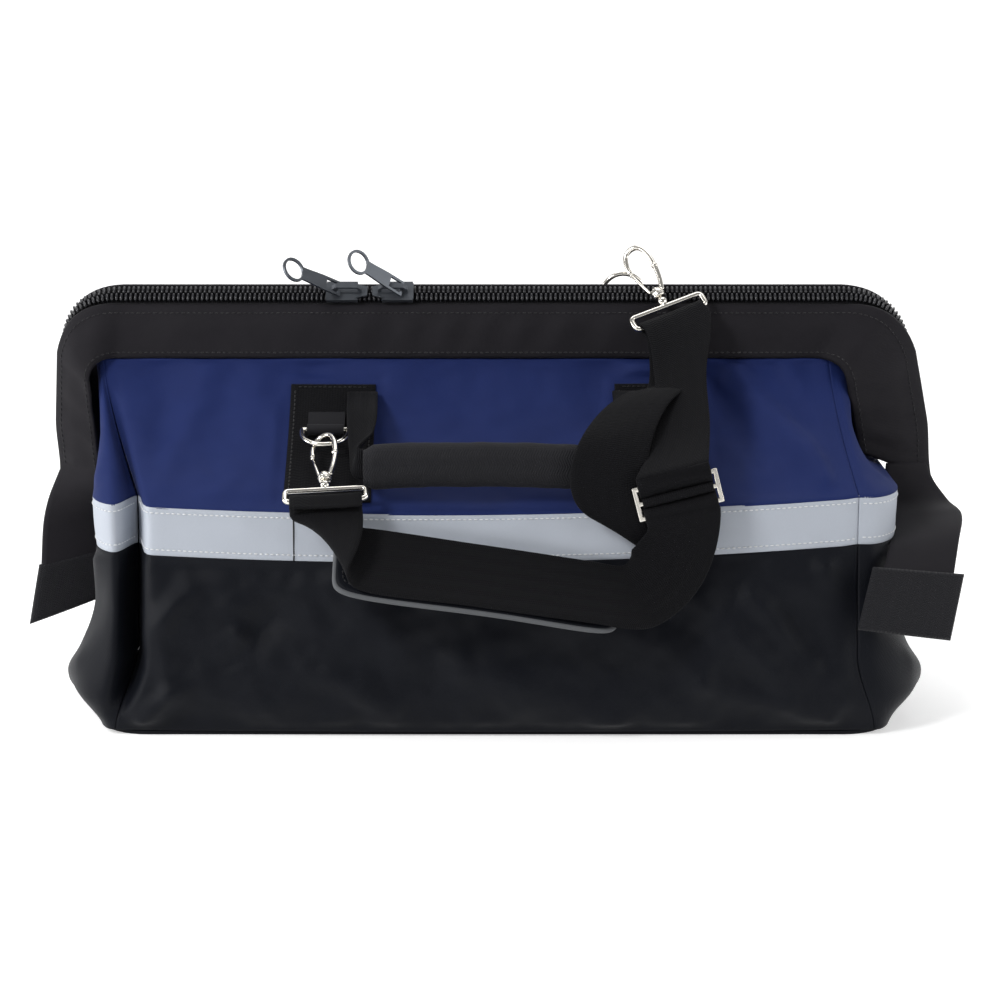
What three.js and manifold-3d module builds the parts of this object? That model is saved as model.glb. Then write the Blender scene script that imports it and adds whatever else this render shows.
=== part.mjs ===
// A wide-mouth zippered tool bag: fabric body, two hinged mouth frames, zip, carry handles
// and a shoulder strap. Millimetres, +X to the viewer's right, +Y away from the viewer, +Z up.
// The origin is the middle of the base, on the floor.
import * as THREE from 'three';
import { mergeVertices } from 'three/addons/utils/BufferGeometryUtils.js';
import Module from 'manifold-3d';

const wasm = await Module();
wasm.setup();

// Clearances and thicknesses shared by several pieces
const GAP = 0.3;
const SEAM_GAP = 0.7;
const FABRIC = 2.0;
const WEBBING = 1.6;

// Body of the bag
const BASE_HALF_LENGTH = 236;
const BASE_HALF_DEPTH = 113;
const BASE_SHEET = 3;
const BOARD_THICK = 4;
const BOARD_INSET = 12;
const BASE_CORNER = 30;
const REAR_SHIFT = 12;
const PIVOT_HALF_WIDTH = 270;
const BULGE_HALF_LENGTH = PIVOT_HALF_WIDTH - 18;
const BULGE_HALF_DEPTH = 119;
const BULGE_HEIGHT = 26;
const HOLLOW_HALF_LENGTH = PIVOT_HALF_WIDTH - 35;
const HOLLOW_HEIGHT = 78;
const WAIST_HALF_LENGTH = PIVOT_HALF_WIDTH - 31;
const WAIST_HALF_DEPTH = 103;
const WAIST_HEIGHT = 132;
const CORNER_DEPTH = 34;
const SEAM_X = WAIST_HALF_LENGTH - 27;
const BASE_SEAM_X = 224;
const SEAM_FLARE_HEIGHT = 50;
const FRONT_BULGE = 4;
const BAND_WIDTH = 28;
const BAND_MIDDLE = 118.5;
const BAND_END_RISE = 8;
const BAND_RIGHT_RISE = 3;
const END_TURN = 0.5;
const UPPER_TOP_DEPTH = 21;
const UPPER_TOP_LEFT = PIVOT_HALF_WIDTH - 32;
const UPPER_TOP_RIGHT = PIVOT_HALF_WIDTH - 67;
const END_SWELL_LEFT = 6;
const END_SWELL_RIGHT = 3;
const SHOULDER_LEFT = 2;
const SHOULDER_RIGHT = 6;

// Mouth: the line of the closed zip, which both jaws share
const PIVOT_HEIGHT = 135;
const MOUTH_HEIGHT = 247;
const MOUTH_Y = -12;
const LEG_SPLAY_LEFT = 0.08;
const LEG_SPLAY_RIGHT = 0.22;
const MOUTH_CORNER = 34;
const ZIP_TILT = 50;
const ZIP_END_HEIGHT = PIVOT_HEIGHT + 17;

// Zip chain
const TAPE_HALF = 5.6;
const TAPE_THICK = 0.8;
const TAPE_DROP = 0.5;
const CHAIN_GAP = 0.5;
const COIL_WIDTH = 4.7;
const COIL_THICK = 3;

// Collars of the two jaws
const COLLAR_THICK = 2.6;
const COLLAR_TOP = 36;
const COLLAR_LEFT = 18;
const COLLAR_RIGHT = 42;
const COLLAR_FOOT_LEFT = 27;
const COLLAR_FOOT_RIGHT = 42;
const COLLAR_SEAM = 2;
const COLLAR_LEAN = 6;
const COLLAR_LEG_LEAN = 14;
const COLLAR_FOOT = PIVOT_HEIGHT + 8;
const COLLAR_INNER_FOOT = PIVOT_HEIGHT + 29;
const COLLAR_CORNER = 14;
const COLLAR_EDGE_TOP = 7.2;
const REAR_EDGE_TOP = 8.4;
const REAR_EDGE_DROP = 1;
const COLLAR_EDGE_LEG = 9.5;
const COLLAR_SWELL = 1.5;
const REAR_FOLD = 9;
const LEG_STEPS = 4;
const CORNER_STEPS = 5;
const TOP_STEPS = 10;

// Steel strips inside the collars
const STRIP_THICK = 2.5;
const STRIP_WIDTH = 8;
const RIVET_RADIUS = 3;
const RIVET_HEAD = 6;
const RIVET_HEAD_THICK = 1.5;
const EYE_RADIUS = 8;
const EYE_TOP = PIVOT_HEIGHT + EYE_RADIUS + 5;
const FRONT_STRIP_DEPTH = 9.5;
const FRONT_STRIP_SHIFT = 1.2;
const REAR_STRIP_DEPTH = 4.5;
const REAR_STRIP_SHIFT = 6.6;

// Handles and their anchors
const ANCHOR_X = -98;
const ANCHOR_WIDTH = 50;
const ANCHOR_LOW = 0.06;
const ANCHOR_HIGH = 0.8;
const HANDLE_V = 0.74;
const HANDLE_ROOT_X = -80;
const HANDLE_WEBBING = 17;
const GRIP_LENGTH = 130;
const GRIP_MIDDLE = -11;
const GRIP_HEIGHT = 161;
const GRIP_Y = 104;
const GRIP_TALL = 24;
const GRIP_DEPTH = 15;

// Rings
const RING_X = -101;
const RING_V = 0.46;
const RING_WIRE = 1.5;
const RING_HALF = 14;
const RING_DROP = 19;
const RING_LEAN = 24;
const TAB_WIDTH = 22;
const TAB_RADIUS = 3.4;
const TAB_LENGTH = 15;
const REAR_RING_X = 79;
const REAR_BAR_Y = 8.6;
const REAR_BAR_HEIGHT = MOUTH_HEIGHT - 8;
const REAR_COLLAR_SLOPE = 9;

// Zip sliders and pulls
const LEFT_SLIDER_X = -90;
const RIGHT_SLIDER_X = -62;
const SLIDER_LENGTH = 25;
const SLIDER_WIDTH = 11;
const SLIDER_PLATE = 1.5;
const FLANGE = 1.2;
const FLANGE_DROP = 1.4;
const BRIDGE_HALF = 9;
const BRIDGE_TALL = 6.5;
const BRIDGE_WIDTH = 3;
const PULL_SHIFT = 5;
const PULL_LIFT = 40;
const RIGHT_PULL_YAW = 12;
const PULL_LENGTH = 33;
const PULL_HALF = 5;
const PULL_WINDOW = 3.4;
const PULL_ARMS = 9;
const PULL_RING = 7.8;
const PULL_HOLE = 6.2;
const PULL_THICK = 1.5;

// Snap hooks
const HOOK_WIRE = 1.5;
const HOOK_BOW = 7.4;
const HOOK_NOSE = 7;
const HOOK_COLLAR = 27;
const COLLAR_LENGTH = 5.5;
const HOOK_COLLAR_RADIUS = 3.8;
const STEM_RADIUS = 1.2;
const STEM_HEAD = 1.3;
const BALL_RADIUS = 3;
const GATE_WIRE = 0.9;
const EYE_WIRE = 1.6;
const EYE_HALF = 23.5;
const EYE_DROP = 9;
const FRONT_HOOK_WAY = [0.08, -0.87, -0.49];
const FRONT_HOOK_ROLL = 30;
const FRONT_EYE_ROLL = 0;
const UPPER_HOOK_AT = [86, -1, MOUTH_HEIGHT + 20.6];
const UPPER_HOOK_WAY = [0.42, -0.64, -0.64];
const UPPER_HOOK_ROLL = 32;
const UPPER_EYE_ROLL = 0;

// Shoulder strap, its pad and its adjuster
const STRAP_WIDTH = 43;
const PAD_CENTRE = [-11, -131, 99];
const PAD_LENGTH = 162;
const PAD_WIDTH = 46;
const PAD_THICK = 5;
const GLIDE_CENTRE = [105, -121, 147];
const GLIDE_WIDTH = 50;
const GLIDE_BAR = 2.6;
const GLIDE_WINDOW = 6;
const GLIDE_HEIGHT = 3 * GLIDE_BAR + 2 * GLIDE_WINDOW;
const GLIDE_WIDE = [0.97, 0, 0.25];
const GLIDE_THICK = 2;
const TUCK = 1.8;
const BEYOND = 4;

// Tails
const TAIL_WIDTH = 42;
const TAIL_THICK = 2.4;
const LEFT_TAB_WIDTH = 44;
const RIGHT_TAB_WIDTH = 54;
const TAB_THICK = 3.5;

const v3 = (x, y, z) => new THREE.Vector3(x, y, z);
const lerp = THREE.MathUtils.lerp;
const smooth = THREE.MathUtils.smoothstep;
const degrees = THREE.MathUtils.degToRad;

// Geometry helpers

function fromTriangles(points, triangles) {
  const geometry = new THREE.BufferGeometry();
  const values = points.flatMap(p => [p.x, p.y, p.z]);
  geometry.setAttribute('position', new THREE.Float32BufferAttribute(values, 3));
  geometry.setIndex(triangles);
  return geometry;
}

// Joins equal rings of points into one closed body, with a fan over each end
function loft(rings) {
  const points = rings.flat();
  const count = rings[0].length;
  const triangles = [];
  for (let i = 0; i + 1 < rings.length; i++) {
    for (let j = 0; j < count; j++) {
      const a = i * count + j;
      const b = i * count + (j + 1) % count;
      triangles.push(a, b, a + count, b, b + count, a + count);
    }
  }
  const last = (rings.length - 1) * count;
  for (let j = 1; j + 1 < count; j++) {
    triangles.push(0, j + 1, j);
    triangles.push(last, last + j, last + j + 1);
  }
  return facingOut(fromTriangles(points, triangles));
}

// Gives a grid of surface points a thickness. With square edges, the seams and hems of neighbours
// stay parallel: the thickness runs level along the first and last row and along Y at the seams.
function sheet(grid, thickness, squareEdges = false) {
  const rows = grid.length;
  const columns = grid[0].length;
  const at = (i, j) => grid[Math.min(Math.max(i, 0), rows - 1)][Math.min(Math.max(j, 0), columns - 1)];
  const back = grid.map((row, i) => row.map((p, j) => {
    const along = at(i, j + 1).clone().sub(at(i, j - 1));
    const across = at(i + 1, j).clone().sub(at(i - 1, j));
    const normal = along.cross(across);
    if (squareEdges && (i === 0 || i === rows - 1)) normal.z = 0;
    if (squareEdges && (j === 0 || j === columns - 1)) normal.x = 0;
    return p.clone().addScaledVector(normal.normalize(), -thickness);
  }));
  const points = [...grid.flat(), ...back.flat()];
  const size = rows * columns;
  const triangles = [];
  const quad = (a, b, c, d) => triangles.push(a, b, c, a, c, d);
  for (let i = 0; i + 1 < rows; i++) {
    for (let j = 0; j + 1 < columns; j++) {
      const a = i * columns + j;
      quad(a, a + 1, a + columns + 1, a + columns);
      quad(size + a, size + a + columns, size + a + columns + 1, size + a + 1);
    }
  }
  for (let j = 0; j + 1 < columns; j++) {
    const top = (rows - 1) * columns + j;
    quad(j, size + j, size + j + 1, j + 1);
    quad(top, top + 1, size + top + 1, size + top);
  }
  for (let i = 0; i + 1 < rows; i++) {
    const a = i * columns;
    const b = a + columns - 1;
    quad(a, a + columns, size + a + columns, size + a);
    quad(b, size + b, size + b + columns, b + columns);
  }
  return facingOut(fromTriangles(points, triangles));
}

function signedVolume(geometry) {
  const p = geometry.getAttribute('position');
  const index = geometry.getIndex();
  let total = 0;
  for (let i = 0; i < index.count; i += 3) {
    const [a, b, c] = [0, 1, 2].map(k => v3().fromBufferAttribute(p, index.getX(i + k)));
    total += a.dot(b.cross(c));
  }
  return total;
}

function facingOut(geometry) {
  if (signedVolume(geometry) < 0) {
    const index = geometry.getIndex();
    for (let i = 0; i < index.count; i += 3) {
      const keep = index.getX(i);
      index.setX(i, index.getX(i + 1));
      index.setX(i + 1, keep);
    }
  }
  return geometry;
}

function solid(geometry) {
  const plain = geometry.clone();
  plain.deleteAttribute('normal');
  plain.deleteAttribute('uv');
  const merged = mergeVertices(plain, 1e-4);
  return new wasm.Manifold(new wasm.Mesh({
    numProp: 3,
    vertProperties: new Float32Array(merged.getAttribute('position').array),
    triVerts: new Uint32Array(merged.getIndex().array),
  }));
}

function fromSolid(body) {
  const mesh = body.getMesh();
  const geometry = new THREE.BufferGeometry();
  geometry.setAttribute('position', new THREE.BufferAttribute(new Float32Array(mesh.vertProperties), 3));
  geometry.setIndex(new THREE.BufferAttribute(new Uint32Array(mesh.triVerts), 1));
  return geometry;
}

const join = (...shapes) => fromSolid(shapes.map(solid).reduce((a, b) => a.add(b)));
const cut = (shape, ...holes) => fromSolid(holes.map(solid).reduce((a, b) => a.subtract(b), solid(shape)));

function box(x, y, z, centre) {
  return new THREE.BoxGeometry(x, y, z).translate(centre.x, centre.y, centre.z);
}

// A cylinder between two points
function pin(from, to, radius, sides = 16) {
  const axis = to.clone().sub(from);
  const turn = new THREE.Quaternion().setFromUnitVectors(v3(0, 1, 0), axis.clone().normalize());
  const middle = from.clone().add(to).multiplyScalar(0.5);
  return new THREE.CylinderGeometry(radius, radius, axis.length(), sides)
    .applyQuaternion(turn).translate(middle.x, middle.y, middle.z);
}

// A round wire along a smooth curve through the points
function wire(points, radius, { closed = false, steps = 40, sides = 8 } = {}) {
  const section = new THREE.Shape();
  section.absarc(0, 0, radius, 0, Math.PI * 2);
  const path = new THREE.CatmullRomCurve3(points, closed, 'centripetal');
  return new THREE.ExtrudeGeometry(section, { steps, curveSegments: sides / 2, extrudePath: path });
}

const group = new THREE.Group();

function material(colour, roughness, metalness = 0) {
  return new THREE.MeshStandardMaterial({ color: colour, roughness, metalness });
}

const finishes = {
  black: () => material(0x26272e, 0.85),
  navy: () => material(0x22336a, 0.8),
  band: () => material(0xc4cad2, 0.45),
  webbing: () => material(0x232324, 0.8),
  nickel: () => material(0xd8d6d0, 0.25, 1),
  steel: () => material(0x6a6c70, 0.45, 1),
  gunmetal: () => material(0x2c2e33, 0.4, 0.8),
  coil: () => material(0x2a2b2e, 0.5),
  board: () => material(0x3a3a3c, 0.7),
  foam: () => material(0x3c3d40, 0.9),
};

function add(name, geometry, finish) {
  const mesh = new THREE.Mesh(geometry, finishes[finish]());
  mesh.name = name;
  group.add(mesh);
  return mesh;
}

// Shape of the body

// Half length, half depth and corner radius of the body's outline at a height
function outline(z) {
  const low = smooth(z, 0, BULGE_HEIGHT);
  const high = smooth(z, BULGE_HEIGHT, WAIST_HEIGHT);
  const bulge = lerp(BASE_HALF_LENGTH, BULGE_HALF_LENGTH, low);
  const hollow = lerp(bulge, HOLLOW_HALF_LENGTH, smooth(z, BULGE_HEIGHT, HOLLOW_HEIGHT));
  return {
    a: lerp(hollow, WAIST_HALF_LENGTH, smooth(z, HOLLOW_HEIGHT, WAIST_HEIGHT)),
    b: lerp(lerp(BASE_HALF_DEPTH, BULGE_HALF_DEPTH, low), WAIST_HALF_DEPTH, high),
  };
}

const bandMiddle = x => {
  const s = x / WAIST_HALF_LENGTH;
  return BAND_MIDDLE + BAND_END_RISE * s * s + BAND_RIGHT_RISE * s;
};
const bandLow = x => bandMiddle(x) - BAND_WIDTH / 2;
const bandHigh = x => bandMiddle(x) + BAND_WIDTH / 2;

// Half length of the flat front between the two corner seams
const seamX = z => lerp(BASE_SEAM_X, SEAM_X, smooth(z, 0, SEAM_FLARE_HEIGHT));

// A point of the front or rear face. s runs from -1 at the left seam to 1 at the right one
function facePoint(s, z, side) {
  const { b } = outline(z);
  const x = s * (seamX(z) - SEAM_GAP / 2);
  return v3(x, side * (b + FRONT_BULGE * (1 - s * s)), z);
}

// A point of an end. t runs from -1 at the front seam to 1 at the rear one
function endPoint(t, z, side) {
  const { a, b } = outline(z);
  const start = seamX(z) + SEAM_GAP / 2;
  const across = Math.abs(t);
  const straight = 1 - END_TURN;
  if (across <= straight) return v3(side * a, t / straight * (b - CORNER_DEPTH), z);
  const angle = (across - straight) / END_TURN * Math.PI / 2;
  const x = start + (a - start) * Math.cos(angle);
  const y = b - CORNER_DEPTH + CORNER_DEPTH * Math.sin(angle);
  return v3(side * x, Math.sign(t) * y, z);
}

// A grid of points between two edges. The point function gets s from -1 to 1 and v from 0 to 1
function grid(rows, columns, point) {
  const lines = [];
  for (let i = 0; i <= rows; i++) {
    const line = [];
    for (let j = 0; j <= columns; j++) line.push(point(-1 + 2 * j / columns, i / rows));
    lines.push(line);
  }
  return lines;
}

const FACE_ROWS = 6;
const BAND_ROWS = 2;
const FACE_COLUMNS = 12;
const END_COLUMNS = 12;
const LOW_EDGE = BASE_SHEET + GAP;
const sides = [['front', -1], ['rear', 1]];
const ends = [['left', -1], ['right', 1]];

// The four lower panels and the four lengths of the reflective band over them
for (const [name, side] of sides) {
  const height = (s, v, low, high) => lerp(low(s * SEAM_X), high(s * SEAM_X), v);
  const belowBand = (s, v) => height(s, v, () => LOW_EDGE, x => bandLow(x) - GAP);
  const lower = grid(FACE_ROWS, FACE_COLUMNS, (s, v) => facePoint(s, belowBand(s, v), side));
  add(`${name}_lower_panel`, sheet(lower, -side * FABRIC, true), 'black');
  const band = grid(BAND_ROWS, FACE_COLUMNS, (s, v) => facePoint(s, height(s, v, bandLow, bandHigh), side));
  add(`${name}_reflective_band`, sheet(band, -side * FABRIC, true), 'band');
}
for (const [name, side] of ends) {
  const low = bandLow(side * SEAM_X);
  const high = bandHigh(side * SEAM_X);
  const lower = grid(FACE_ROWS, END_COLUMNS, (t, v) => endPoint(t, lerp(LOW_EDGE, low - GAP, v), side));
  add(`${name}_end_lower`, sheet(lower, side * FABRIC, true), 'black');
  const band = grid(BAND_ROWS, END_COLUMNS, (t, v) => endPoint(t, lerp(low, high, v), side));
  add(`${name}_end_band`, sheet(band, side * FABRIC, true), 'band');
}

// The base sheet and the stiff board that lies on it inside the bag
function baseOutline(inset) {
  const shape = new THREE.Shape();
  const a = BASE_HALF_LENGTH - inset;
  const b = BASE_HALF_DEPTH - inset;
  const r = BASE_CORNER;
  shape.moveTo(-a + r, -b);
  shape.lineTo(a - r, -b);
  shape.absarc(a - r, -b + r, r, -Math.PI / 2, 0);
  shape.lineTo(a, b - r);
  shape.absarc(a - r, b - r, r, 0, Math.PI / 2);
  shape.lineTo(-a + r, b);
  shape.absarc(-a + r, b - r, r, Math.PI / 2, Math.PI);
  shape.lineTo(-a, -b + r);
  shape.absarc(-a + r, -b + r, r, Math.PI, Math.PI * 1.5);
  return shape;
}
function slab(shape, thick, z) {
  const options = { depth: thick, bevelEnabled: false, curveSegments: 5 };
  return new THREE.ExtrudeGeometry(shape, options).translate(0, 0, z);
}
add('base_panel', slab(baseOutline(0), BASE_SHEET, 0), 'black');
add('base_board', slab(baseOutline(BOARD_INSET), BOARD_THICK, BASE_SHEET + GAP), 'board');

// The navy upper panels, which lean in from the band to the collars
const UPPER_TOP = MOUTH_HEIGHT - COLLAR_TOP - COLLAR_SEAM;
const lean = v => 1 - (1 - v) ** 1.5;
const upperLow = x => bandHigh(x) + GAP;

function upperFace(s, v, side) {
  const start = facePoint(s, upperLow(s * SEAM_X), side);
  const topX = s < 0 ? s * UPPER_TOP_LEFT : s * UPPER_TOP_RIGHT;
  const topY = side < 0 ? -UPPER_TOP_DEPTH : UPPER_TOP_DEPTH - REAR_SHIFT;
  return v3(lerp(start.x, topX, lean(v)), lerp(start.y, topY, lean(v)), lerp(start.z, UPPER_TOP, v));
}

function upperEnd(t, v, side) {
  const start = endPoint(t, upperLow(side * SEAM_X), side);
  const seamStart = side * (seamX(start.z) + SEAM_GAP / 2);
  const seamEnd = (side < 0 ? -UPPER_TOP_LEFT : UPPER_TOP_RIGHT) + side * SEAM_GAP;
  const shoulder = (start.x - seamStart) * (1 - v) ** (side < 0 ? SHOULDER_LEFT : SHOULDER_RIGHT);
  const endSwell = side < 0 ? END_SWELL_LEFT : END_SWELL_RIGHT;
  const swell = shoulder + side * endSwell * (1 - t ** 4) * lean(v);
  const topY = t < 0 ? t * UPPER_TOP_DEPTH : t * (UPPER_TOP_DEPTH - REAR_SHIFT);
  const x = lerp(seamStart, seamEnd, lean(v)) + swell;
  return v3(x, lerp(start.y, topY, lean(v)), lerp(start.z, UPPER_TOP, v));
}
for (const [name, side] of sides) {
  const upper = grid(FACE_ROWS, FACE_COLUMNS, (s, v) => upperFace(s, v, side));
  add(`${name}_upper_panel`, sheet(upper, -side * FABRIC, true), 'navy');
}
for (const [name, side] of ends) {
  const upper = grid(FACE_ROWS, END_COLUMNS, (t, v) => upperEnd(t, v, side));
  add(`${name}_end_upper`, sheet(upper, side * FABRIC, true), 'navy');
}

// The mouth. Stations run up the left leg, across the top and down the right leg, each with its
// place, the way out of the frame and the chain's own width and face directions.
const splay = side => (side < 0 ? LEG_SPLAY_LEFT : LEG_SPLAY_RIGHT);
function mouthLine({ left, right, top, corner, foot, footLeft = left, footRight = right }) {
  const crown = MOUTH_HEIGHT - top;
  const bend = crown - corner;
  const leg = (side, inset, footInset) => {
    const legX = z => PIVOT_HALF_WIDTH - splay(side) * (z - PIVOT_HEIGHT);
    const out = [];
    for (let i = 0; i < LEG_STEPS; i++) {
      const z = lerp(foot, bend, i / LEG_STEPS);
      const depth = lerp(footInset, inset, i / LEG_STEPS);
      out.push({ x: side * (legX(z) - depth), z, up: 0, side });
    }
    const edge = legX(crown) - inset;
    const start = legX(bend) - inset;
    for (let i = 0; i < CORNER_STEPS; i++) {
      const t = i / CORNER_STEPS;
      const x = (1 - t) ** 2 * start + 2 * t * (1 - t) * edge + t * t * (edge - corner);
      const z = (1 - t) ** 2 * bend + 2 * t * (1 - t) * crown + t * t * crown;
      out.push({ x: side * x, z, up: t, side });
    }
    return { out, end: side * (edge - corner) };
  };
  const l = leg(-1, left, footLeft);
  const r = leg(1, right, footRight);
  const across = [];
  for (let i = 0; i <= TOP_STEPS; i++) {
    across.push({ x: lerp(l.end, r.end, i / TOP_STEPS), z: crown, up: 1, side: 0 });
  }
  return [...l.out, ...across, ...r.out.reverse()].map(p => {
    const angle = p.up * Math.PI / 2;
    const out = v3(p.side * Math.cos(angle), 0, p.side === 0 ? 1 : Math.sin(angle)).normalize();
    const tilt = degrees(ZIP_TILT) * p.up;
    const y = MOUTH_Y * (p.z + top * p.up - PIVOT_HEIGHT) / (MOUTH_HEIGHT - PIVOT_HEIGHT);
    return {
      at: v3(p.x, y, p.z),
      up: p.up,
      out,
      wide: v3(0, Math.cos(tilt), 0).addScaledVector(out, Math.sin(tilt)),
      face: v3(0, -Math.sin(tilt), 0).addScaledVector(out, Math.cos(tilt)),
    };
  });
}

const zipLine = mouthLine({ left: 0, right: 0, top: 0, corner: MOUTH_CORNER, foot: ZIP_END_HEIGHT });
const place = ({ at, wide, face }, w, n) => at.clone().addScaledVector(wide, w).addScaledVector(face, n);

// A bar along the mouth line, from its cross-section in the chain's width and face directions
const bar = section => loft(zipLine.map(station => section.map(([w, n]) => place(station, w, n))));
const mirrored = section => section.map(([w, n]) => [-w, n]).reverse();
const tapeSection = [
  [-TAPE_HALF, -TAPE_THICK - TAPE_DROP],
  [-GAP, -TAPE_THICK - TAPE_DROP],
  [-GAP, -TAPE_DROP],
  [-TAPE_HALF, -TAPE_DROP],
];
const coilSection = [
  [-CHAIN_GAP / 2 - COIL_WIDTH, COIL_THICK * 0.3],
  [-CHAIN_GAP / 2 - COIL_WIDTH * 0.7, 0],
  [-CHAIN_GAP / 2, 0],
  [-CHAIN_GAP / 2, COIL_THICK],
  [-CHAIN_GAP / 2 - COIL_WIDTH * 0.5, COIL_THICK],
  [-CHAIN_GAP / 2 - COIL_WIDTH * 0.85, COIL_THICK * 0.75],
];
add('front_zip_tape', bar(tapeSection), 'coil');
add('rear_zip_tape', bar(mirrored(tapeSection)), 'coil');
add('front_zip_coil', bar(coilSection), 'coil');
add('rear_zip_coil', bar(mirrored(coilSection)), 'coil');

// Collars: the wide hems that cover the frames
const outerLine = mouthLine({ left: 0, right: 0, top: 0, corner: MOUTH_CORNER, foot: COLLAR_FOOT });
const innerLine = mouthLine({
  left: COLLAR_LEFT,
  right: COLLAR_RIGHT,
  top: COLLAR_TOP,
  corner: COLLAR_CORNER,
  foot: COLLAR_INNER_FOOT,
  footLeft: COLLAR_FOOT_LEFT,
  footRight: COLLAR_FOOT_RIGHT,
});

function collar(side) {
  const rows = [[], [], []];
  outerLine.forEach((station, i) => {
    const inner = innerLine[i].at.clone();
    const top = side < 0 ? COLLAR_EDGE_TOP : REAR_EDGE_TOP;
    const drop = side < 0 ? 0 : REAR_EDGE_DROP * station.up;
    const edge = place(station, side * lerp(COLLAR_EDGE_LEG, top, station.up), -drop);
    const fold = side < 0 ? 0 : lerp(2, REAR_FOLD, station.up);
    const shoulder = edge.clone().lerp(inner, side < 0 ? 0.4 : 0.06);
    inner.y = edge.y + fold + side * lerp(COLLAR_LEG_LEAN, COLLAR_LEAN, station.up);
    shoulder.y = side < 0 ? lerp(edge.y, inner.y, 0.4) - COLLAR_SWELL : edge.y + fold;
    rows[0].push(edge);
    rows[1].push(shoulder);
    rows[2].push(inner);
  });
  return sheet(rows, side * COLLAR_THICK);
}
add('front_collar', collar(-1), 'black');
add('rear_collar', collar(1), 'black');

// Steel strips, bent the easy way, that meet on the pivot rivets
const eyeX = (depth, side) => PIVOT_HALF_WIDTH - depth - splay(side) * (EYE_TOP - PIVOT_HEIGHT);
function frameStrip(depth, shift) {
  const corner = MOUTH_CORNER - depth;
  const line = mouthLine({ left: depth, right: depth, top: depth, corner, foot: EYE_TOP });
  const rings = line.map(({ at, out, up }) => {
    const y = at.y + shift * up;
    const [near, far] = [y - STRIP_WIDTH / 2, y + STRIP_WIDTH / 2];
    const inner = at.clone().addScaledVector(out, -STRIP_THICK);
    return [v3(at.x, near, at.z), v3(at.x, far, at.z), v3(inner.x, far, inner.z), v3(inner.x, near, inner.z)];
  });
  const footRing = (side, z) => {
    const [a, b] = [side * eyeX(depth, side), side * (eyeX(depth, side) - STRIP_THICK)];
    const h = STRIP_WIDTH / 2;
    return [v3(a, -h, z), v3(a, h, z), v3(b, h, z), v3(b, -h, z)];
  };
  let shape = loft([footRing(-1, PIVOT_HEIGHT), footRing(-1, EYE_TOP - 2), ...rings, footRing(1, EYE_TOP - 2),
    footRing(1, PIVOT_HEIGHT)]);
  for (const side of [-1, 1]) {
    const outer = eyeX(depth, side);
    const at = x => v3(side * x, 0, PIVOT_HEIGHT);
    shape = join(shape, pin(at(outer), at(outer - STRIP_THICK), EYE_RADIUS));
    shape = cut(shape, pin(at(outer + 1), at(outer - STRIP_THICK - 1), RIVET_RADIUS + GAP));
  }
  return shape;
}
add('front_frame_strip', frameStrip(FRONT_STRIP_DEPTH, FRONT_STRIP_SHIFT), 'steel');
add('rear_frame_strip', frameStrip(REAR_STRIP_DEPTH, REAR_STRIP_SHIFT), 'steel');

// Pivot rivets, with a head on each side of the two eyes
const rivetOut = side => eyeX(REAR_STRIP_DEPTH, side) + GAP;
for (const [name, side] of ends) {
  const at = x => v3(side * x, 0, PIVOT_HEIGHT);
  const outer = rivetOut(side);
  const inner = eyeX(FRONT_STRIP_DEPTH, side) - STRIP_THICK - GAP;
  add(`${name}_pivot_rivet`, join(
    pin(at(inner), at(outer), RIVET_RADIUS),
    pin(at(outer), at(outer + RIVET_HEAD_THICK), RIVET_HEAD),
    pin(at(inner - RIVET_HEAD_THICK), at(inner), RIVET_HEAD),
  ), 'nickel');
}

// A place on the outside of the upper panels: x across, height along the slope, lift off the cloth
function onPanel(x, v, lift, side) {
  const s = x / SEAM_X;
  const step = 0.01;
  const at = upperFace(s, v, side);
  const slope = upperFace(s, v + step, side).sub(upperFace(s, v - step, side));
  const out = v3(0, side * slope.z, -side * slope.y).normalize();
  return v3(x, at.y, at.z).addScaledVector(out, lift);
}

// Flat webbing along a smooth line. Each stop has its place, the way its width points and,
// where it is gathered, how far it spreads
function webbingRun(stops, width, { steps = 24, thick = WEBBING } = {}) {
  const line = new THREE.CatmullRomCurve3(stops.map(stop => stop.at), false, 'centripetal');
  const ways = new THREE.CatmullRomCurve3(stops.map(stop => stop.wide));
  const spreads = new THREE.CatmullRomCurve3(stops.map(stop => v3(stop.spread ?? 1, 0, 0)));
  const rows = [-0.5, 0.5].map(side => {
    const row = [];
    for (let i = 0; i <= steps; i++) {
      const u = i / steps;
      const way = ways.getPoint(u).normalize();
      row.push(line.getPoint(u).addScaledVector(way, side * width * spreads.getPoint(u).x));
    }
    return row;
  });
  return sheet(rows, thick);
}

// Handle anchors: webbing patches sewn to the upper panels, the handle's roots
const rightX = -ANCHOR_X;
const anchors = [
  ['front_left_anchor', -1, ANCHOR_X],
  ['front_right_anchor', -1, rightX],
  ['rear_left_anchor', 1, ANCHOR_X],
  ['rear_right_anchor', 1, rightX],
];
for (const [name, side, middle] of anchors) {
  const rows = [];
  for (let i = 0; i <= 5; i++) {
    const v = lerp(ANCHOR_LOW, ANCHOR_HIGH, i / 5);
    rows.push([-1, 0, 1].map(k => onPanel(middle + k * ANCHOR_WIDTH / 2, v, GAP + WEBBING, side)));
  }
  add(name, sheet(rows, -side * WEBBING), 'webbing');
}

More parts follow.
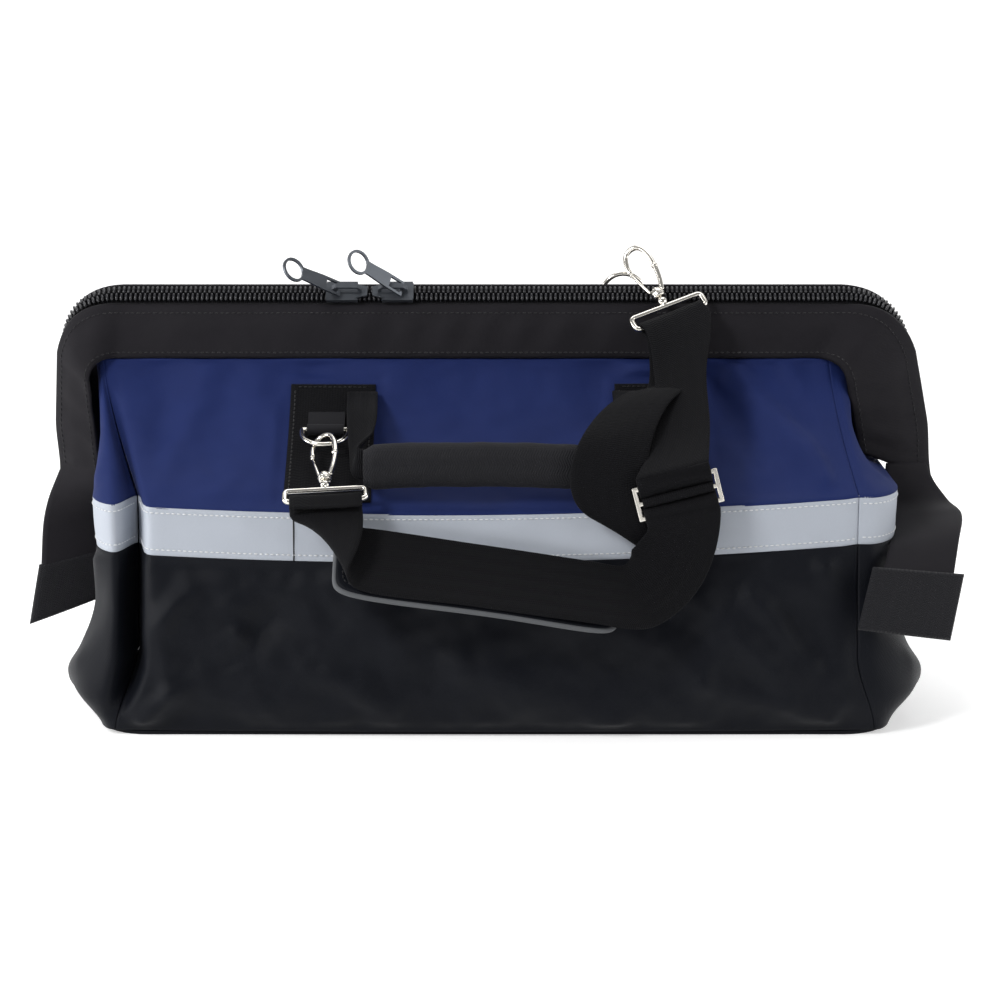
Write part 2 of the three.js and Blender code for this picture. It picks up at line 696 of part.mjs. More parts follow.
// Carry handles: webbing from anchor to anchor, with a padded wrap round its middle
const handleLift = GAP + WEBBING + GAP + WEBBING;
function handleStops(side) {
  const root = x => onPanel(x, HANDLE_V, handleLift, side);
  const mirror = side === -1 ? 1 : -1;
  const at = (x, y, z) => v3(mirror * x, side * y, z);
  const wide = (x, y, z) => v3(mirror * x, side * y, z);
  const half = GRIP_LENGTH / 2;
  const [a, b] = [HANDLE_ROOT_X, GRIP_MIDDLE - half];
  const c = GRIP_MIDDLE + half;
  const first = root(mirror * a);
  const last = root(mirror * -a);
  return [
    { at: first, wide: wide(1, 0, 0) },
    { at: at(a + 1, 62, GRIP_HEIGHT + 24), wide: wide(1, 0, 0.1) },
    { at: at(lerp(a, b, 0.35), 86, GRIP_HEIGHT + 11), wide: wide(0.75, -0.25, 0.6) },
    { at: at(b - 5, GRIP_Y - 2, GRIP_HEIGHT + 1), wide: wide(0.1, 0, 1) },
    { at: at(b + 3, GRIP_Y, GRIP_HEIGHT), wide: wide(0, 0, 1) },
    { at: at(b + 15, GRIP_Y, GRIP_HEIGHT), wide: wide(0, 0, 1) },
    { at: at(GRIP_MIDDLE, GRIP_Y, GRIP_HEIGHT), wide: wide(0, 0, 1) },
    { at: at(c - 15, GRIP_Y, GRIP_HEIGHT), wide: wide(0, 0, 1) },
    { at: at(c - 3, GRIP_Y, GRIP_HEIGHT), wide: wide(0, 0, 1) },
    { at: at(c + 5, GRIP_Y - 2, GRIP_HEIGHT + 1), wide: wide(-0.1, 0, 1) },
    { at: at(lerp(-a, c, 0.35), 86, GRIP_HEIGHT + 11), wide: wide(-0.75, 0.25, 0.6) },
    { at: at(-a - 1, 62, GRIP_HEIGHT + 24), wide: wide(-1, 0, 0.1) },
    { at: last, wide: wide(-1, 0, 0) },
  ];
}
function grip(side) {
  const mirror = side === -1 ? 1 : -1;
  const middle = v3(mirror * GRIP_MIDDLE, side * (GRIP_Y - WEBBING / 2), GRIP_HEIGHT);
  const rings = [];
  const swells = [[-0.5, 0.72], [-0.46, 0.96], [-0.2, 1], [0.2, 1], [0.46, 0.96], [0.5, 0.72]];
  for (const [along, scale] of swells) {
    const ring = [];
    for (let i = 0; i < 16; i++) {
      const angle = i / 16 * Math.PI * 2;
      ring.push(v3(middle.x + along * GRIP_LENGTH, middle.y + GRIP_DEPTH / 2 * scale * Math.cos(angle),
        middle.z + GRIP_TALL / 2 * scale * Math.sin(angle)));
    }
    rings.push(ring);
  }
  return cut(loft(rings), box(GRIP_LENGTH + 2, WEBBING + 6 * GAP, HANDLE_WEBBING + 4 * GAP, middle));
}
for (const [name, side] of sides) {
  add(`${name}_handle_webbing`, webbingRun(handleStops(side), HANDLE_WEBBING, { steps: 44 }), 'webbing');
  add(`${name}_handle_grip`, grip(side), 'webbing');
}

// Ring tabs and D-rings. The front ring hangs on the left anchor. The rear one stands up behind
// the rear collar, on a tab sewn to it, held by the upper snap hook.
function ringTab(bar, up, out, length) {
  const shape = cut(
    join(
      pin(bar.clone().setX(bar.x - TAB_WIDTH / 2), bar.clone().setX(bar.x + TAB_WIDTH / 2), TAB_RADIUS),
      slabAlong(bar.clone().addScaledVector(out, WEBBING / 2 - TAB_RADIUS), up, out, length),
    ),
    pin(bar.clone().setX(bar.x - TAB_WIDTH), bar.clone().setX(bar.x + TAB_WIDTH), RING_WIRE + GAP),
  );
  return shape;
}

// The tab's flat part, from a point along one direction, with its face the other way
function slabAlong(from, along, face, length) {
  const turn = new THREE.Matrix4().makeBasis(along.clone().cross(face), along, face);
  return new THREE.BoxGeometry(TAB_WIDTH, length, WEBBING).translate(0, length / 2, 0)
    .applyMatrix4(turn).translate(from.x, from.y, from.z);
}

// A D-ring: a straight bar and a round bow that points along the hang direction
function dRing(bar, hang) {
  const bow = [];
  for (let i = 0; i <= 12; i++) {
    const angle = Math.PI * i / 12;
    const across = Math.cos(angle) * RING_HALF;
    bow.push(bar.clone().add(v3(across, 0, 0)).addScaledVector(hang, Math.sin(angle) ** 0.8 * RING_DROP));
  }
  const left = bar.clone().add(v3(RING_HALF, 0, 0));
  const right = bar.clone().sub(v3(RING_HALF, 0, 0));
  return join(wire(bow, RING_WIRE, { steps: 26 }), pin(right, left, RING_WIRE, 8),
    new THREE.SphereGeometry(RING_WIRE * 1.04, 8, 6).translate(left.x, left.y, left.z),
    new THREE.SphereGeometry(RING_WIRE * 1.04, 8, 6).translate(right.x, right.y, right.z));
}

const frontBar = onPanel(RING_X, RING_V, GAP + WEBBING + 3 * GAP + TAB_RADIUS, -1);
const slopeUp = onPanel(RING_X, RING_V + 0.1, 0, -1).sub(onPanel(RING_X, RING_V, 0, -1)).setX(0).normalize();
const slopeOut = v3(0, -slopeUp.z, slopeUp.y);
add('front_ring_tab', ringTab(frontBar, slopeUp, slopeOut, TAB_LENGTH), 'webbing');
const ringHang = slopeUp.clone().negate().applyAxisAngle(v3(1, 0, 0), -degrees(RING_LEAN));
add('front_d_ring', dRing(frontBar, ringHang), 'nickel');

const rearBack = v3(0, Math.cos(degrees(REAR_COLLAR_SLOPE)), Math.sin(degrees(REAR_COLLAR_SLOPE)));
const rearUp = v3(0, -rearBack.z, rearBack.y);
const rearBar = v3(REAR_RING_X, REAR_BAR_Y, REAR_BAR_HEIGHT);
add('rear_ring_tab', ringTab(rearBar, rearUp.clone().negate(), rearBack, TAB_LENGTH), 'webbing');
add('rear_d_ring', dRing(rearBar, rearUp), 'nickel');

// Zip sliders and their pulls, in the chain's own directions: along X, its width and its face
const chainWide = v3(0, Math.cos(degrees(ZIP_TILT)), Math.sin(degrees(ZIP_TILT)));
const faceOut = v3(0, -Math.sin(degrees(ZIP_TILT)), Math.cos(degrees(ZIP_TILT)));
const onChain = (x, n) => v3(x, MOUTH_Y, MOUTH_HEIGHT).addScaledVector(faceOut, n);
const chainTurn = new THREE.Matrix4().makeBasis(v3(1, 0, 0), chainWide, faceOut);

function slider(x, nose) {
  const half = SLIDER_LENGTH / 2;
  const wide = SLIDER_WIDTH / 2;
  const plate = new THREE.Shape();
  plate.moveTo(-half * nose, -wide);
  plate.lineTo(half * 0.3 * nose, -wide);
  plate.lineTo(half * nose, -wide * 0.55);
  plate.lineTo(half * nose, wide * 0.55);
  plate.lineTo(half * 0.3 * nose, wide);
  plate.lineTo(-half * nose, wide);
  const top = new THREE.ExtrudeGeometry(plate, { depth: SLIDER_PLATE, bevelEnabled: false });
  const low = COIL_THICK + GAP + 0.1;
  const arch = new THREE.Shape();
  arch.moveTo(-BRIDGE_HALF, 0);
  arch.lineTo(BRIDGE_HALF, 0);
  arch.lineTo(BRIDGE_HALF, BRIDGE_TALL * 0.6);
  arch.lineTo(BRIDGE_HALF - 2.5, BRIDGE_TALL);
  arch.lineTo(-BRIDGE_HALF + 2.5, BRIDGE_TALL);
  arch.lineTo(-BRIDGE_HALF, BRIDGE_TALL * 0.6);
  const window = new THREE.Path();
  window.moveTo(-BRIDGE_HALF + 2, 1);
  window.lineTo(-BRIDGE_HALF + 2, BRIDGE_TALL - 2.6);
  window.lineTo(-BRIDGE_HALF + 3, BRIDGE_TALL - 1.6);
  window.lineTo(BRIDGE_HALF - 3, BRIDGE_TALL - 1.6);
  window.lineTo(BRIDGE_HALF - 2, BRIDGE_TALL - 2.6);
  window.lineTo(BRIDGE_HALF - 2, 1);
  arch.holes.push(window);
  const bridge = new THREE.ExtrudeGeometry(arch, { depth: BRIDGE_WIDTH, bevelEnabled: false })
    .translate(0, 0, -BRIDGE_WIDTH / 2).rotateX(Math.PI / 2).translate(0, 0, SLIDER_PLATE - 0.5);
  const flange = side => new THREE.BoxGeometry(half * 1.5, FLANGE, SLIDER_PLATE + FLANGE_DROP)
    .translate(-half * 0.22 * nose, side * (wide + FLANGE / 2 - 0.1), (SLIDER_PLATE - FLANGE_DROP) / 2);
  return join(top, bridge, flange(-1), flange(1)).translate(0, 0, low)
    .applyMatrix4(chainTurn).translate(x, MOUTH_Y, MOUTH_HEIGHT);
}

const pullPin = COIL_THICK + GAP + SLIDER_PLATE + BRIDGE_TALL / 2 - 0.9;

// A pull: a flat plate with a window round the bridge and a round hole at its far end
function pull(x, yaw) {
  const plate = new THREE.Shape();
  plate.moveTo(-1, -PULL_HALF);
  plate.lineTo(PULL_LENGTH * 0.35, -PULL_HALF);
  plate.lineTo(PULL_LENGTH * 0.72, -PULL_HALF * 0.85);
  const open = Math.asin(PULL_HALF * 0.85 / PULL_RING);
  plate.absarc(PULL_LENGTH, 0, PULL_RING, Math.PI + open, Math.PI * 3 - open, false);
  plate.lineTo(PULL_LENGTH * 0.72, PULL_HALF * 0.85);
  plate.lineTo(PULL_LENGTH * 0.35, PULL_HALF);
  plate.lineTo(-1, PULL_HALF);
  const window = new THREE.Path();
  window.moveTo(1, -PULL_WINDOW);
  window.lineTo(1, PULL_WINDOW);
  window.lineTo(PULL_ARMS, PULL_WINDOW);
  window.lineTo(PULL_ARMS, -PULL_WINDOW);
  const hole = new THREE.Path();
  hole.absarc(PULL_LENGTH, 0, PULL_HOLE, 0, Math.PI * 2, true);
  plate.holes.push(window, hole);
  return new THREE.ExtrudeGeometry(plate, { depth: PULL_THICK, bevelEnabled: false, curveSegments: 9 })
    .translate(0, 0, -PULL_THICK / 2).rotateY(-degrees(PULL_LIFT)).rotateZ(Math.PI + degrees(yaw))
    .applyMatrix4(chainTurn).translate(...onChain(x, pullPin).toArray());
}
add('left_zip_slider', slider(LEFT_SLIDER_X, 1), 'gunmetal');
add('right_zip_slider', slider(RIGHT_SLIDER_X, -1), 'gunmetal');
add('left_zip_pull', pull(LEFT_SLIDER_X - PULL_SHIFT, 0), 'gunmetal');
add('right_zip_pull', pull(RIGHT_SLIDER_X + PULL_SHIFT, -RIGHT_PULL_YAW), 'gunmetal');

// Swivel snap hooks. The origin is where the ring's wire passes and down runs to the strap. The
// roll turns the bow about down, the eye roll turns the strap's loop about it.
function snapHook(name, origin, down, roll, eyeRoll) {
  const level = v3(1, 0, 0).addScaledVector(down, -down.x).normalize();
  const wide = level.clone().applyAxisAngle(down, degrees(roll));
  const barWay = level.clone().applyAxisAngle(down, degrees(eyeRoll));
  const at = (w, d) => origin.clone().addScaledVector(wide, w).addScaledVector(down, d);
  const bow = [
    [3.6, HOOK_COLLAR + 2], [6.2, HOOK_COLLAR - 6], [HOOK_BOW + 0.4, HOOK_COLLAR * 0.4], [HOOK_BOW, 1],
    [HOOK_BOW * 0.62, -HOOK_BOW * 0.76], [0, -HOOK_BOW], [-HOOK_BOW * 0.62, -HOOK_BOW * 0.76], [-HOOK_BOW, 1],
    [-HOOK_BOW - 0.4, HOOK_NOSE],
  ].map(([w, d]) => at(w, d));
  const collarBottom = HOOK_COLLAR + COLLAR_LENGTH;
  const body = cut(
    join(
      wire(bow, HOOK_WIRE, { steps: 30 }),
      pin(at(0, HOOK_COLLAR), at(0, collarBottom), HOOK_COLLAR_RADIUS),
      pin(at(0, HOOK_COLLAR + 2), at(3.6, HOOK_COLLAR + 2), HOOK_WIRE, 8),
    ),
    pin(at(0, HOOK_COLLAR - 4), at(0, collarBottom + 4), STEM_RADIUS + GAP, 12),
  );
  const ball = collarBottom + GAP + BALL_RADIUS;
  const top = ball + BALL_RADIUS + EYE_WIRE * 0.5;
  const low = top + EYE_DROP;
  const corners = [[-1, top], [1, top], [1, low], [-1, low]]
    .map(([side, d]) => at(0, d).addScaledVector(barWay, side * EYE_HALF));
  const knob = p => new THREE.SphereGeometry(EYE_WIRE * 1.05, 8, 6).translate(p.x, p.y, p.z);
  const eye = join(
    pin(at(0, HOOK_COLLAR - GAP - STEM_HEAD), at(0, HOOK_COLLAR - GAP), STEM_RADIUS + 0.7, 12),
    pin(at(0, HOOK_COLLAR - GAP - 0.5), at(0, ball), STEM_RADIUS, 12),
    new THREE.SphereGeometry(BALL_RADIUS, 12, 8).translate(...at(0, ball).toArray()),
    ...corners.flatMap((p, i) => [pin(p, corners[(i + 1) % 4], EYE_WIRE, 8), knob(p)]),
  );
  add(`${name}_snap_hook`, body, 'nickel');
  const gateFoot = at(-HOOK_COLLAR_RADIUS, HOOK_COLLAR - 3 * GAP);
  const gate = pin(gateFoot, at(-HOOK_BOW - 0.4, HOOK_NOSE + 3 * GAP), GATE_WIRE, 8);
  add(`${name}_hook_gate`, gate, 'nickel');
  add(`${name}_hook_eye`, eye, 'nickel');
  return { bar: at(0, low), way: barWay, down };
}
const unit = (x, y, z) => v3(x, y, z).normalize();
const frontLink = frontBar.clone().addScaledVector(ringHang, RING_DROP);
const frontDown = unit(...FRONT_HOOK_WAY);
const frontEye = snapHook('front', frontLink, frontDown, FRONT_HOOK_ROLL, FRONT_EYE_ROLL);
const upperDown = unit(...UPPER_HOOK_WAY);
const upperEye = snapHook('upper', v3(...UPPER_HOOK_AT), upperDown, UPPER_HOOK_ROLL, UPPER_EYE_ROLL);

// Shoulder pad: a flat padded strip that leans on the front of the bag
const padWide = unit(0, -0.78, -0.63);
const padAlong = unit(159, 0, -24);
const padFace = padWide.clone().cross(padAlong).normalize();
const padCentre = v3(...PAD_CENTRE);
function padSolid() {
  const rings = [[-0.5, 0.86], [-0.47, 1], [0.47, 1], [0.5, 0.86]].map(([along, scale]) => {
    const middle = padCentre.clone().addScaledVector(padAlong, along * PAD_LENGTH);
    const half = PAD_WIDTH / 2 * scale;
    const thick = PAD_THICK / 2;
    return [[-half, -thick * 0.6], [-half * 0.9, -thick], [half * 0.9, -thick], [half, -thick * 0.6],
      [half, thick * 0.6], [half * 0.9, thick], [-half * 0.9, thick], [-half, thick * 0.6]]
      .map(([w, n]) => middle.clone().addScaledVector(padWide, w).addScaledVector(padFace, n));
  });
  return loft(rings);
}
add('shoulder_pad', padSolid(), 'foam');

// The strap is one length: it is sewn round the front hook's eye, runs over the pad, folds up
// through the adjuster, turns in the upper hook's eye and comes back down behind itself.
const padLay = along => padCentre.clone().addScaledVector(padAlong, along * PAD_LENGTH)
  .addScaledVector(padFace, PAD_THICK / 2 + GAP + WEBBING);
const barGap = EYE_WIRE + 2 * GAP;
function roundBar(eye, spread, flip = 1) {
  const face = eye.way.clone().cross(eye.down).multiplyScalar(flip);
  const at = (n, d) => eye.bar.clone().addScaledVector(face, n * barGap).addScaledVector(eye.down, d);
  return [[-1, 9], [-1, 0], [0, -barGap], [1, 0], [1, 9]]
    .map(([n, d]) => ({ at: at(n, d), wide: eye.way, spread }));
}
const glideWide = unit(...GLIDE_WIDE);
const glideOut = unit(0, -1, 0.1).addScaledVector(glideWide, -unit(0, -1, 0.1).dot(glideWide)).normalize();
const glideUp = glideOut.clone().cross(glideWide);
const onGlide = (up, out) => v3(...GLIDE_CENTRE).addScaledVector(glideUp, up).addScaledVector(glideOut, out);
const layer = GLIDE_THICK / 2 + GAP;
const [under, over] = [-layer - WEBBING - 0.5, layer + 0.5];
const nearBar = GLIDE_BAR / 2 + GLIDE_WINDOW - 0.3;
const farBar = GLIDE_HEIGHT / 2 + 0.3;
const strapStops = [
  ...roundBar(frontEye, 0.94),
  { at: v3(-92, -136, 118), wide: v3(0.4, -0.78, -0.35), spread: 0.95 },
  { at: padLay(-0.42), wide: padWide },
  { at: padLay(0), wide: padWide },
  { at: padLay(0.42), wide: padWide },
  { at: padLay(0.53), wide: padWide },
  { at: v3(86, -128, 92), wide: v3(0.3, -0.5, -0.8) },
  { at: v3(101, -123, 108), wide: v3(0.9, -0.1, -0.4) },
  ...[[-farBar - BEYOND, over], [-farBar, over], [-nearBar, over], [-TUCK, under],
    [TUCK, under], [nearBar, over], [farBar, over], [farBar + BEYOND, over]]
    .map(([up, out]) => ({ at: onGlide(up, out), wide: glideWide, spread: 0.97 })),
  { at: v3(109, -92, MOUTH_HEIGHT - 69), wide: glideWide, spread: 0.75 },
  { at: v3(110, -62, MOUTH_HEIGHT - 42), wide: glideWide, spread: 0.7 },
  ...roundBar(upperEye, 0.94, -1).reverse(),
  { at: v3(109, -52, MOUTH_HEIGHT - 47), wide: glideWide, spread: 0.7 },
  { at: v3(108, -82, MOUTH_HEIGHT - 75), wide: glideWide, spread: 0.75 },
  { at: onGlide(farBar + 6, under - WEBBING), wide: glideWide, spread: 0.95 },
  { at: onGlide(nearBar + 1, under), wide: glideWide, spread: 0.95 },
];
add('shoulder_strap', webbingRun(strapStops, STRAP_WIDTH, { steps: 110 }), 'webbing');

// The adjuster: a flat frame with two windows. The strap passes through them behind its middle bar
function adjuster() {
  const window = side => new THREE.BoxGeometry(GLIDE_WIDTH - 2 * GLIDE_BAR, GLIDE_WINDOW, GLIDE_THICK * 2)
    .translate(0, side * (GLIDE_BAR + GLIDE_WINDOW) / 2, 0);
  return cut(new THREE.BoxGeometry(GLIDE_WIDTH, GLIDE_HEIGHT, GLIDE_THICK), window(-1), window(1))
    .applyMatrix4(new THREE.Matrix4().makeBasis(glideWide, glideUp, glideOut)).translate(...GLIDE_CENTRE);
}
add('strap_adjuster', adjuster(), 'nickel');

// Soft tails that hang from the pivots, each with a folded tab on its end
function tail(name, stops, tabStops, tabWidth) {
  add(`${name}_tail`, webbingRun(stops, TAIL_WIDTH, { steps: 10, thick: TAIL_THICK }), 'black');
  add(`${name}_tail_tab`, webbingRun(tabStops, tabWidth, { steps: 3, thick: TAB_THICK }), 'webbing');
}
const seatX = side => side * (rivetOut(side) + RIVET_HEAD_THICK + GAP);
const tailX = PIVOT_HALF_WIDTH;
tail('right', [
  { at: v3(seatX(1), 0, PIVOT_HEIGHT + 6), wide: v3(0, -1, 0), spread: 0.34 },
  { at: v3(seatX(1), 0, PIVOT_HEIGHT), wide: v3(0, -1, 0), spread: 0.34 },
  { at: v3(seatX(1) + 0.6, -1, PIVOT_HEIGHT - 7), wide: v3(0.15, -1, 0), spread: 0.45 },
  { at: v3(tailX - 8, -22, 120), wide: v3(0.95, -0.3, 0), spread: 0.75 },
  { at: v3(tailX - 7, -56, 119), wide: v3(1, 0.05, 0.1), spread: 0.95 },
  { at: v3(tailX - 15, -95, 112), wide: v3(1, 0.2, 0.05), spread: 1 },
  { at: v3(tailX - 24, -115, 98), wide: v3(1, 0.2, -0.12), spread: 1 },
], [
  { at: v3(tailX - 24.6, -116.8, 95.8), wide: v3(1, 0.2, -0.13) },
  { at: v3(tailX - 32, -125, 66), wide: v3(1, 0.15, -0.16) },
], RIGHT_TAB_WIDTH);
tail('left', [
  { at: v3(seatX(-1), 0, PIVOT_HEIGHT + 6), wide: v3(0, 1, 0), spread: 0.34 },
  { at: v3(seatX(-1), 0, PIVOT_HEIGHT), wide: v3(0, 1, 0), spread: 0.34 },
  { at: v3(seatX(-1) - 0.6, 0, PIVOT_HEIGHT - 7), wide: v3(0.15, 1, 0), spread: 0.45 },
  { at: v3(-tailX + 9, -1, 116), wide: v3(0.8, 0.6, 0.05), spread: 0.8 },
  { at: v3(-tailX + 8, -3, 102), wide: v3(0.97, 0.2, 0.1), spread: 0.95 },
  { at: v3(-tailX + 7, -6, 79), wide: v3(0.95, 0.25, 0.16), spread: 0.95 },
], [
  { at: v3(-tailX + 6, -6.2, 77.4), wide: v3(0.95, 0.25, 0.2) },
  { at: v3(-tailX, -10, 48), wide: v3(0.93, 0.25, 0.3) },
], LEFT_TAB_WIDTH);

export default group;
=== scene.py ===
import math

import bmesh
import bpy
import numpy as np
from mathutils import Matrix, Vector, noise


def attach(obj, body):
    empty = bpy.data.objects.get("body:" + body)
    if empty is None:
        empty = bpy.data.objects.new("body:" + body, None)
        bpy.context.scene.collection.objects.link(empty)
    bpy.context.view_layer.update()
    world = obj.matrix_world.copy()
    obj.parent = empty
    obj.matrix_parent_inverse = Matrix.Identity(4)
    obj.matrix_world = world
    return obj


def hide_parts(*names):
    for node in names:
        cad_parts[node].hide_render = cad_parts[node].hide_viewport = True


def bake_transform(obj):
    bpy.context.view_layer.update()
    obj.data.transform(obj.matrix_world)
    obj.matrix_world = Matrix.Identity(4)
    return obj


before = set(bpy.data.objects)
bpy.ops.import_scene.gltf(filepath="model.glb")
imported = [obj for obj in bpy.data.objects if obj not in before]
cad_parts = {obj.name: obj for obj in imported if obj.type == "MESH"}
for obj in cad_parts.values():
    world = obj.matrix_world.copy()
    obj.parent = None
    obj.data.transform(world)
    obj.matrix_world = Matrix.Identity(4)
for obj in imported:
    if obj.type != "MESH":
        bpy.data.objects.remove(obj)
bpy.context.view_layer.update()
print("frame loaded")

# Sizes shared by the pieces, in millimetres, +X right, +Y away, +Z up
body = dict(
    baseLength=236, baseDepth=113, bulgeLength=252, bulgeDepth=119, bulgeHeight=26, hollowLength=235, hollowHeight=78,
    waistLength=239, waistDepth=103, waistHeight=132, cornerDepth=34, seamX=212, baseSeamX=224,
    seamFlare=50, frontBulge=4, bandWidth=28, bandMiddle=118.5, bandEndRise=8, bandRightRise=3,
    endTurn=0.5, topDepth=21, topLeft=238, topRight=203, swellLeft=6, swellRight=15, rearShift=12, seamGap=0.7,
    panelGap=0.3, rise=1.5, lowEdge=3.3,
)
mouth = dict(
    pivotHeight=135, pivotHalf=270, height=247, y=-12, splayLeft=0.08, splayRight=0.22, corner=34, tilt=50, zipEnd=152,
)
collarSize = dict(
    top=36, left=18, right=42, footLeft=27, footRight=42, seam=2, lean=6, legLean=14, foot=133, innerFootLeft=134,
    innerFootRight=152, corner=14, edgeTop=7.2, rearEdgeTop=8.4, rearDrop=1, edgeLeg=9.5, swell=1.5, rearFold=9,
    cover=3.4, coverFade=(136, 172), pitch=3.4, threadThick=0.35,
)


def ease(x, low, high):
    t = np.clip((x - low) / (high - low), 0, 1)
    return t * t * (3 - 2 * t)


def mix(a, b, t):
    return a + (b - a) * t


# Mesh helpers. Points are in millimetres and become metres here
def addObject(name, data, material=None):
    made = bpy.data.objects.new(name, data)
    bpy.context.scene.collection.objects.link(made)
    if material:
        made.data.materials.append(material)
    return made


def makeObject(name, points, faces, material, uvs=None):
    mesh = bpy.data.meshes.new(name)
    mesh.from_pydata((np.asarray(points) * 0.001).tolist(), [], [list(map(int, f)) for f in faces])
    if uvs is not None:
        layer = mesh.uv_layers.new(name="UVMap")
        index = np.empty(len(mesh.loops), np.int32)
        mesh.loops.foreach_get("vertex_index", index)
        layer.data.foreach_set("uv", np.asarray(uvs, np.float32)[index].ravel() * 0.001)
    mesh.polygons.foreach_set("use_smooth", [True] * len(mesh.polygons))
    mesh.update()
    return addObject(name, mesh, material)


# What a piece rides on, and the solid that it stands for, which is hidden
def settle(made, node=None, bodyName=None):
    if bodyName:
        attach(made, bodyName)
    if node:
        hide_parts(node)
    return made


def unit(v):
    v = np.asarray(v, float)
    return v / max(np.linalg.norm(v), 1e-9)


# The same for every row of an array
def units(rows):
    return rows / np.maximum(np.linalg.norm(rows, axis=-1, keepdims=True), 1e-9)


def normalsOf(grid):
    return units(np.cross(np.gradient(grid, axis=1), np.gradient(grid, axis=0)))


def lengths(grid):
    alongRow = np.linalg.norm(np.diff(grid, axis=1), axis=2)
    upColumn = np.linalg.norm(np.diff(grid, axis=0), axis=2)
    u = np.concatenate([np.zeros((grid.shape[0], 1)), np.cumsum(alongRow, axis=1)], axis=1)
    v = np.concatenate([np.zeros((1, grid.shape[1])), np.cumsum(upColumn, axis=0)], axis=0)
    u = u - u.mean(axis=1, keepdims=True)
    return u, v


# A cloth sheet from a grid of points: the outer face, a rounded rim and the inner face
def clothSheet(name, grid, thick, material, bodyName=None, rim=0.3):
    rows, columns = grid.shape[:2]
    normal = normalsOf(grid)
    along, across = (units(np.gradient(grid, axis=k)) for k in (1, 0))
    outward = np.zeros_like(grid)
    outward[0] -= across[0]
    outward[-1] += across[-1]
    outward[:, 0] -= along[:, 0]
    outward[:, -1] += along[:, -1]
    middle = grid - normal * thick / 2 + outward * abs(thick) * rim
    back = grid - normal * thick
    u, v = lengths(grid)
    flat = np.stack([u, v], axis=2).reshape(-1, 2)
    size = rows * columns
    ids = np.arange(size).reshape(rows, columns)
    edge = list(ids[0, :-1]) + list(ids[:-1, -1]) + list(ids[-1, :0:-1]) + list(ids[:0:-1, 0])
    turn = slice(None, None, -1 if thick < 0 else 1)
    other = slice(None, None, 1 if thick < 0 else -1)
    quads = np.stack([ids[:-1, :-1], ids[:-1, 1:], ids[1:, 1:], ids[1:, :-1]], axis=2).reshape(-1, 4)
    rimIds = {k: 2 * size + i for i, k in enumerate(edge)}
    border = []
    for a, b in zip(edge, edge[1:] + edge[:1]):
        border += [[b, a, rimIds[a], rimIds[b]], [rimIds[b], rimIds[a], a + size, b + size]]
    faces = np.concatenate([quads[:, turn], (quads + size)[:, other], np.array(border)[:, turn]])
    points = np.concatenate([grid.reshape(-1, 3), back.reshape(-1, 3), middle.reshape(-1, 3)[edge]])
    made = makeObject(name, points, faces, material, np.concatenate([flat, flat, flat[edge]]))
    if bodyName:
        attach(made, bodyName)
    return made


# Joins many copies of one small closed form, each with its own place and directions
def scatter(name, template, faces, places, material):
    template = np.asarray(template, float)
    points = np.concatenate([p["at"] + template @ np.stack([p["x"], p["y"], p["z"]]) for p in places])
    allFaces = [tuple(i + k * len(template) for i in f) for k in range(len(places)) for f in faces]
    return makeObject(name, points, allFaces, material)


# A closed form turned about its long axis: rings of (along, radius) with the given number of sides
def turned(profile, sides=8, wide=1.0, tall=1.0):
    angles = np.linspace(0, 2 * math.pi, sides, endpoint=False)
    points = [(profile[0][0], 0, 0)]
    for along, radius in profile[1:-1]:
        points += [(along, math.cos(a) * radius * wide, math.sin(a) * radius * tall) for a in angles]
    points.append((profile[-1][0], 0, 0))
    rings = len(profile) - 2
    last = 1 + (rings - 1) * sides
    faces = []
    for k in range(sides):
        faces.append((0, 1 + (k + 1) % sides, 1 + k))
        faces.append((len(points) - 1, last + k, last + (k + 1) % sides))
    for r in range(rings - 1):
        for k in range(sides):
            a = 1 + r * sides + k
            b = 1 + r * sides + (k + 1) % sides
            faces.append((a, b, b + sides, a + sides))
    return points, faces


# A smooth line through the stops, with the stops' own numbers carried along
def through(stops, steps):
    stops = np.asarray(stops, float)
    count = len(stops)
    padded = np.concatenate([[2 * stops[0] - stops[1]], stops, [2 * stops[-1] - stops[-2]]])
    out = []
    for i in range(count - 1):
        p0, p1, p2, p3 = padded[i:i + 4]
        knots = [0.0]
        for a, b in ((p0, p1), (p1, p2), (p2, p3)):
            knots.append(knots[-1] + max(np.linalg.norm((b - a)[:3]), 1e-4) ** 0.5)
        k0, k1, k2, k3 = knots
        last = steps + (i == count - 2)
        for t in np.linspace(k1, k2, steps + 1)[:last]:
            def between(a, b, start, end):
                return (end - t) / (end - start) * a + (t - start) / (end - start) * b

            a1, a2, a3 = between(p0, p1, k0, k1), between(p1, p2, k1, k2), between(p2, p3, k2, k3)
            out.append(between(between(a1, a2, k0, k2), between(a2, a3, k1, k3), k1, k2))
    return np.array(out)


# A direction that isn't along the way
def guideFor(way):
    return np.array([0.0, 0.0, 1.0]) if abs(way[2]) < 0.8 else np.array([1.0, 0.0, 0.0])


# The faces between rings of points, with a flat face at each end or with the last ring joined to the first
def ringFaces(rings, sides, closed=False):
    faces = []
    for i in range(rings if closed else rings - 1):
        n = (i + 1) % rings
        for k in range(sides):
            j = (k + 1) % sides
            faces.append((i * sides + k, i * sides + j, n * sides + j, n * sides + k))
    if not closed:
        faces.append(tuple(range(sides - 1, -1, -1)))
        faces.append(tuple((rings - 1) * sides + k for k in range(sides)))
    return faces


# A point on a rounded square of half width 1, rounder with a lower power
def roundedSquare(angle, power):
    c, s = math.cos(angle), math.sin(angle)
    r = (abs(c) ** power + abs(s) ** power) ** (-1 / power)
    return r * c, r * s


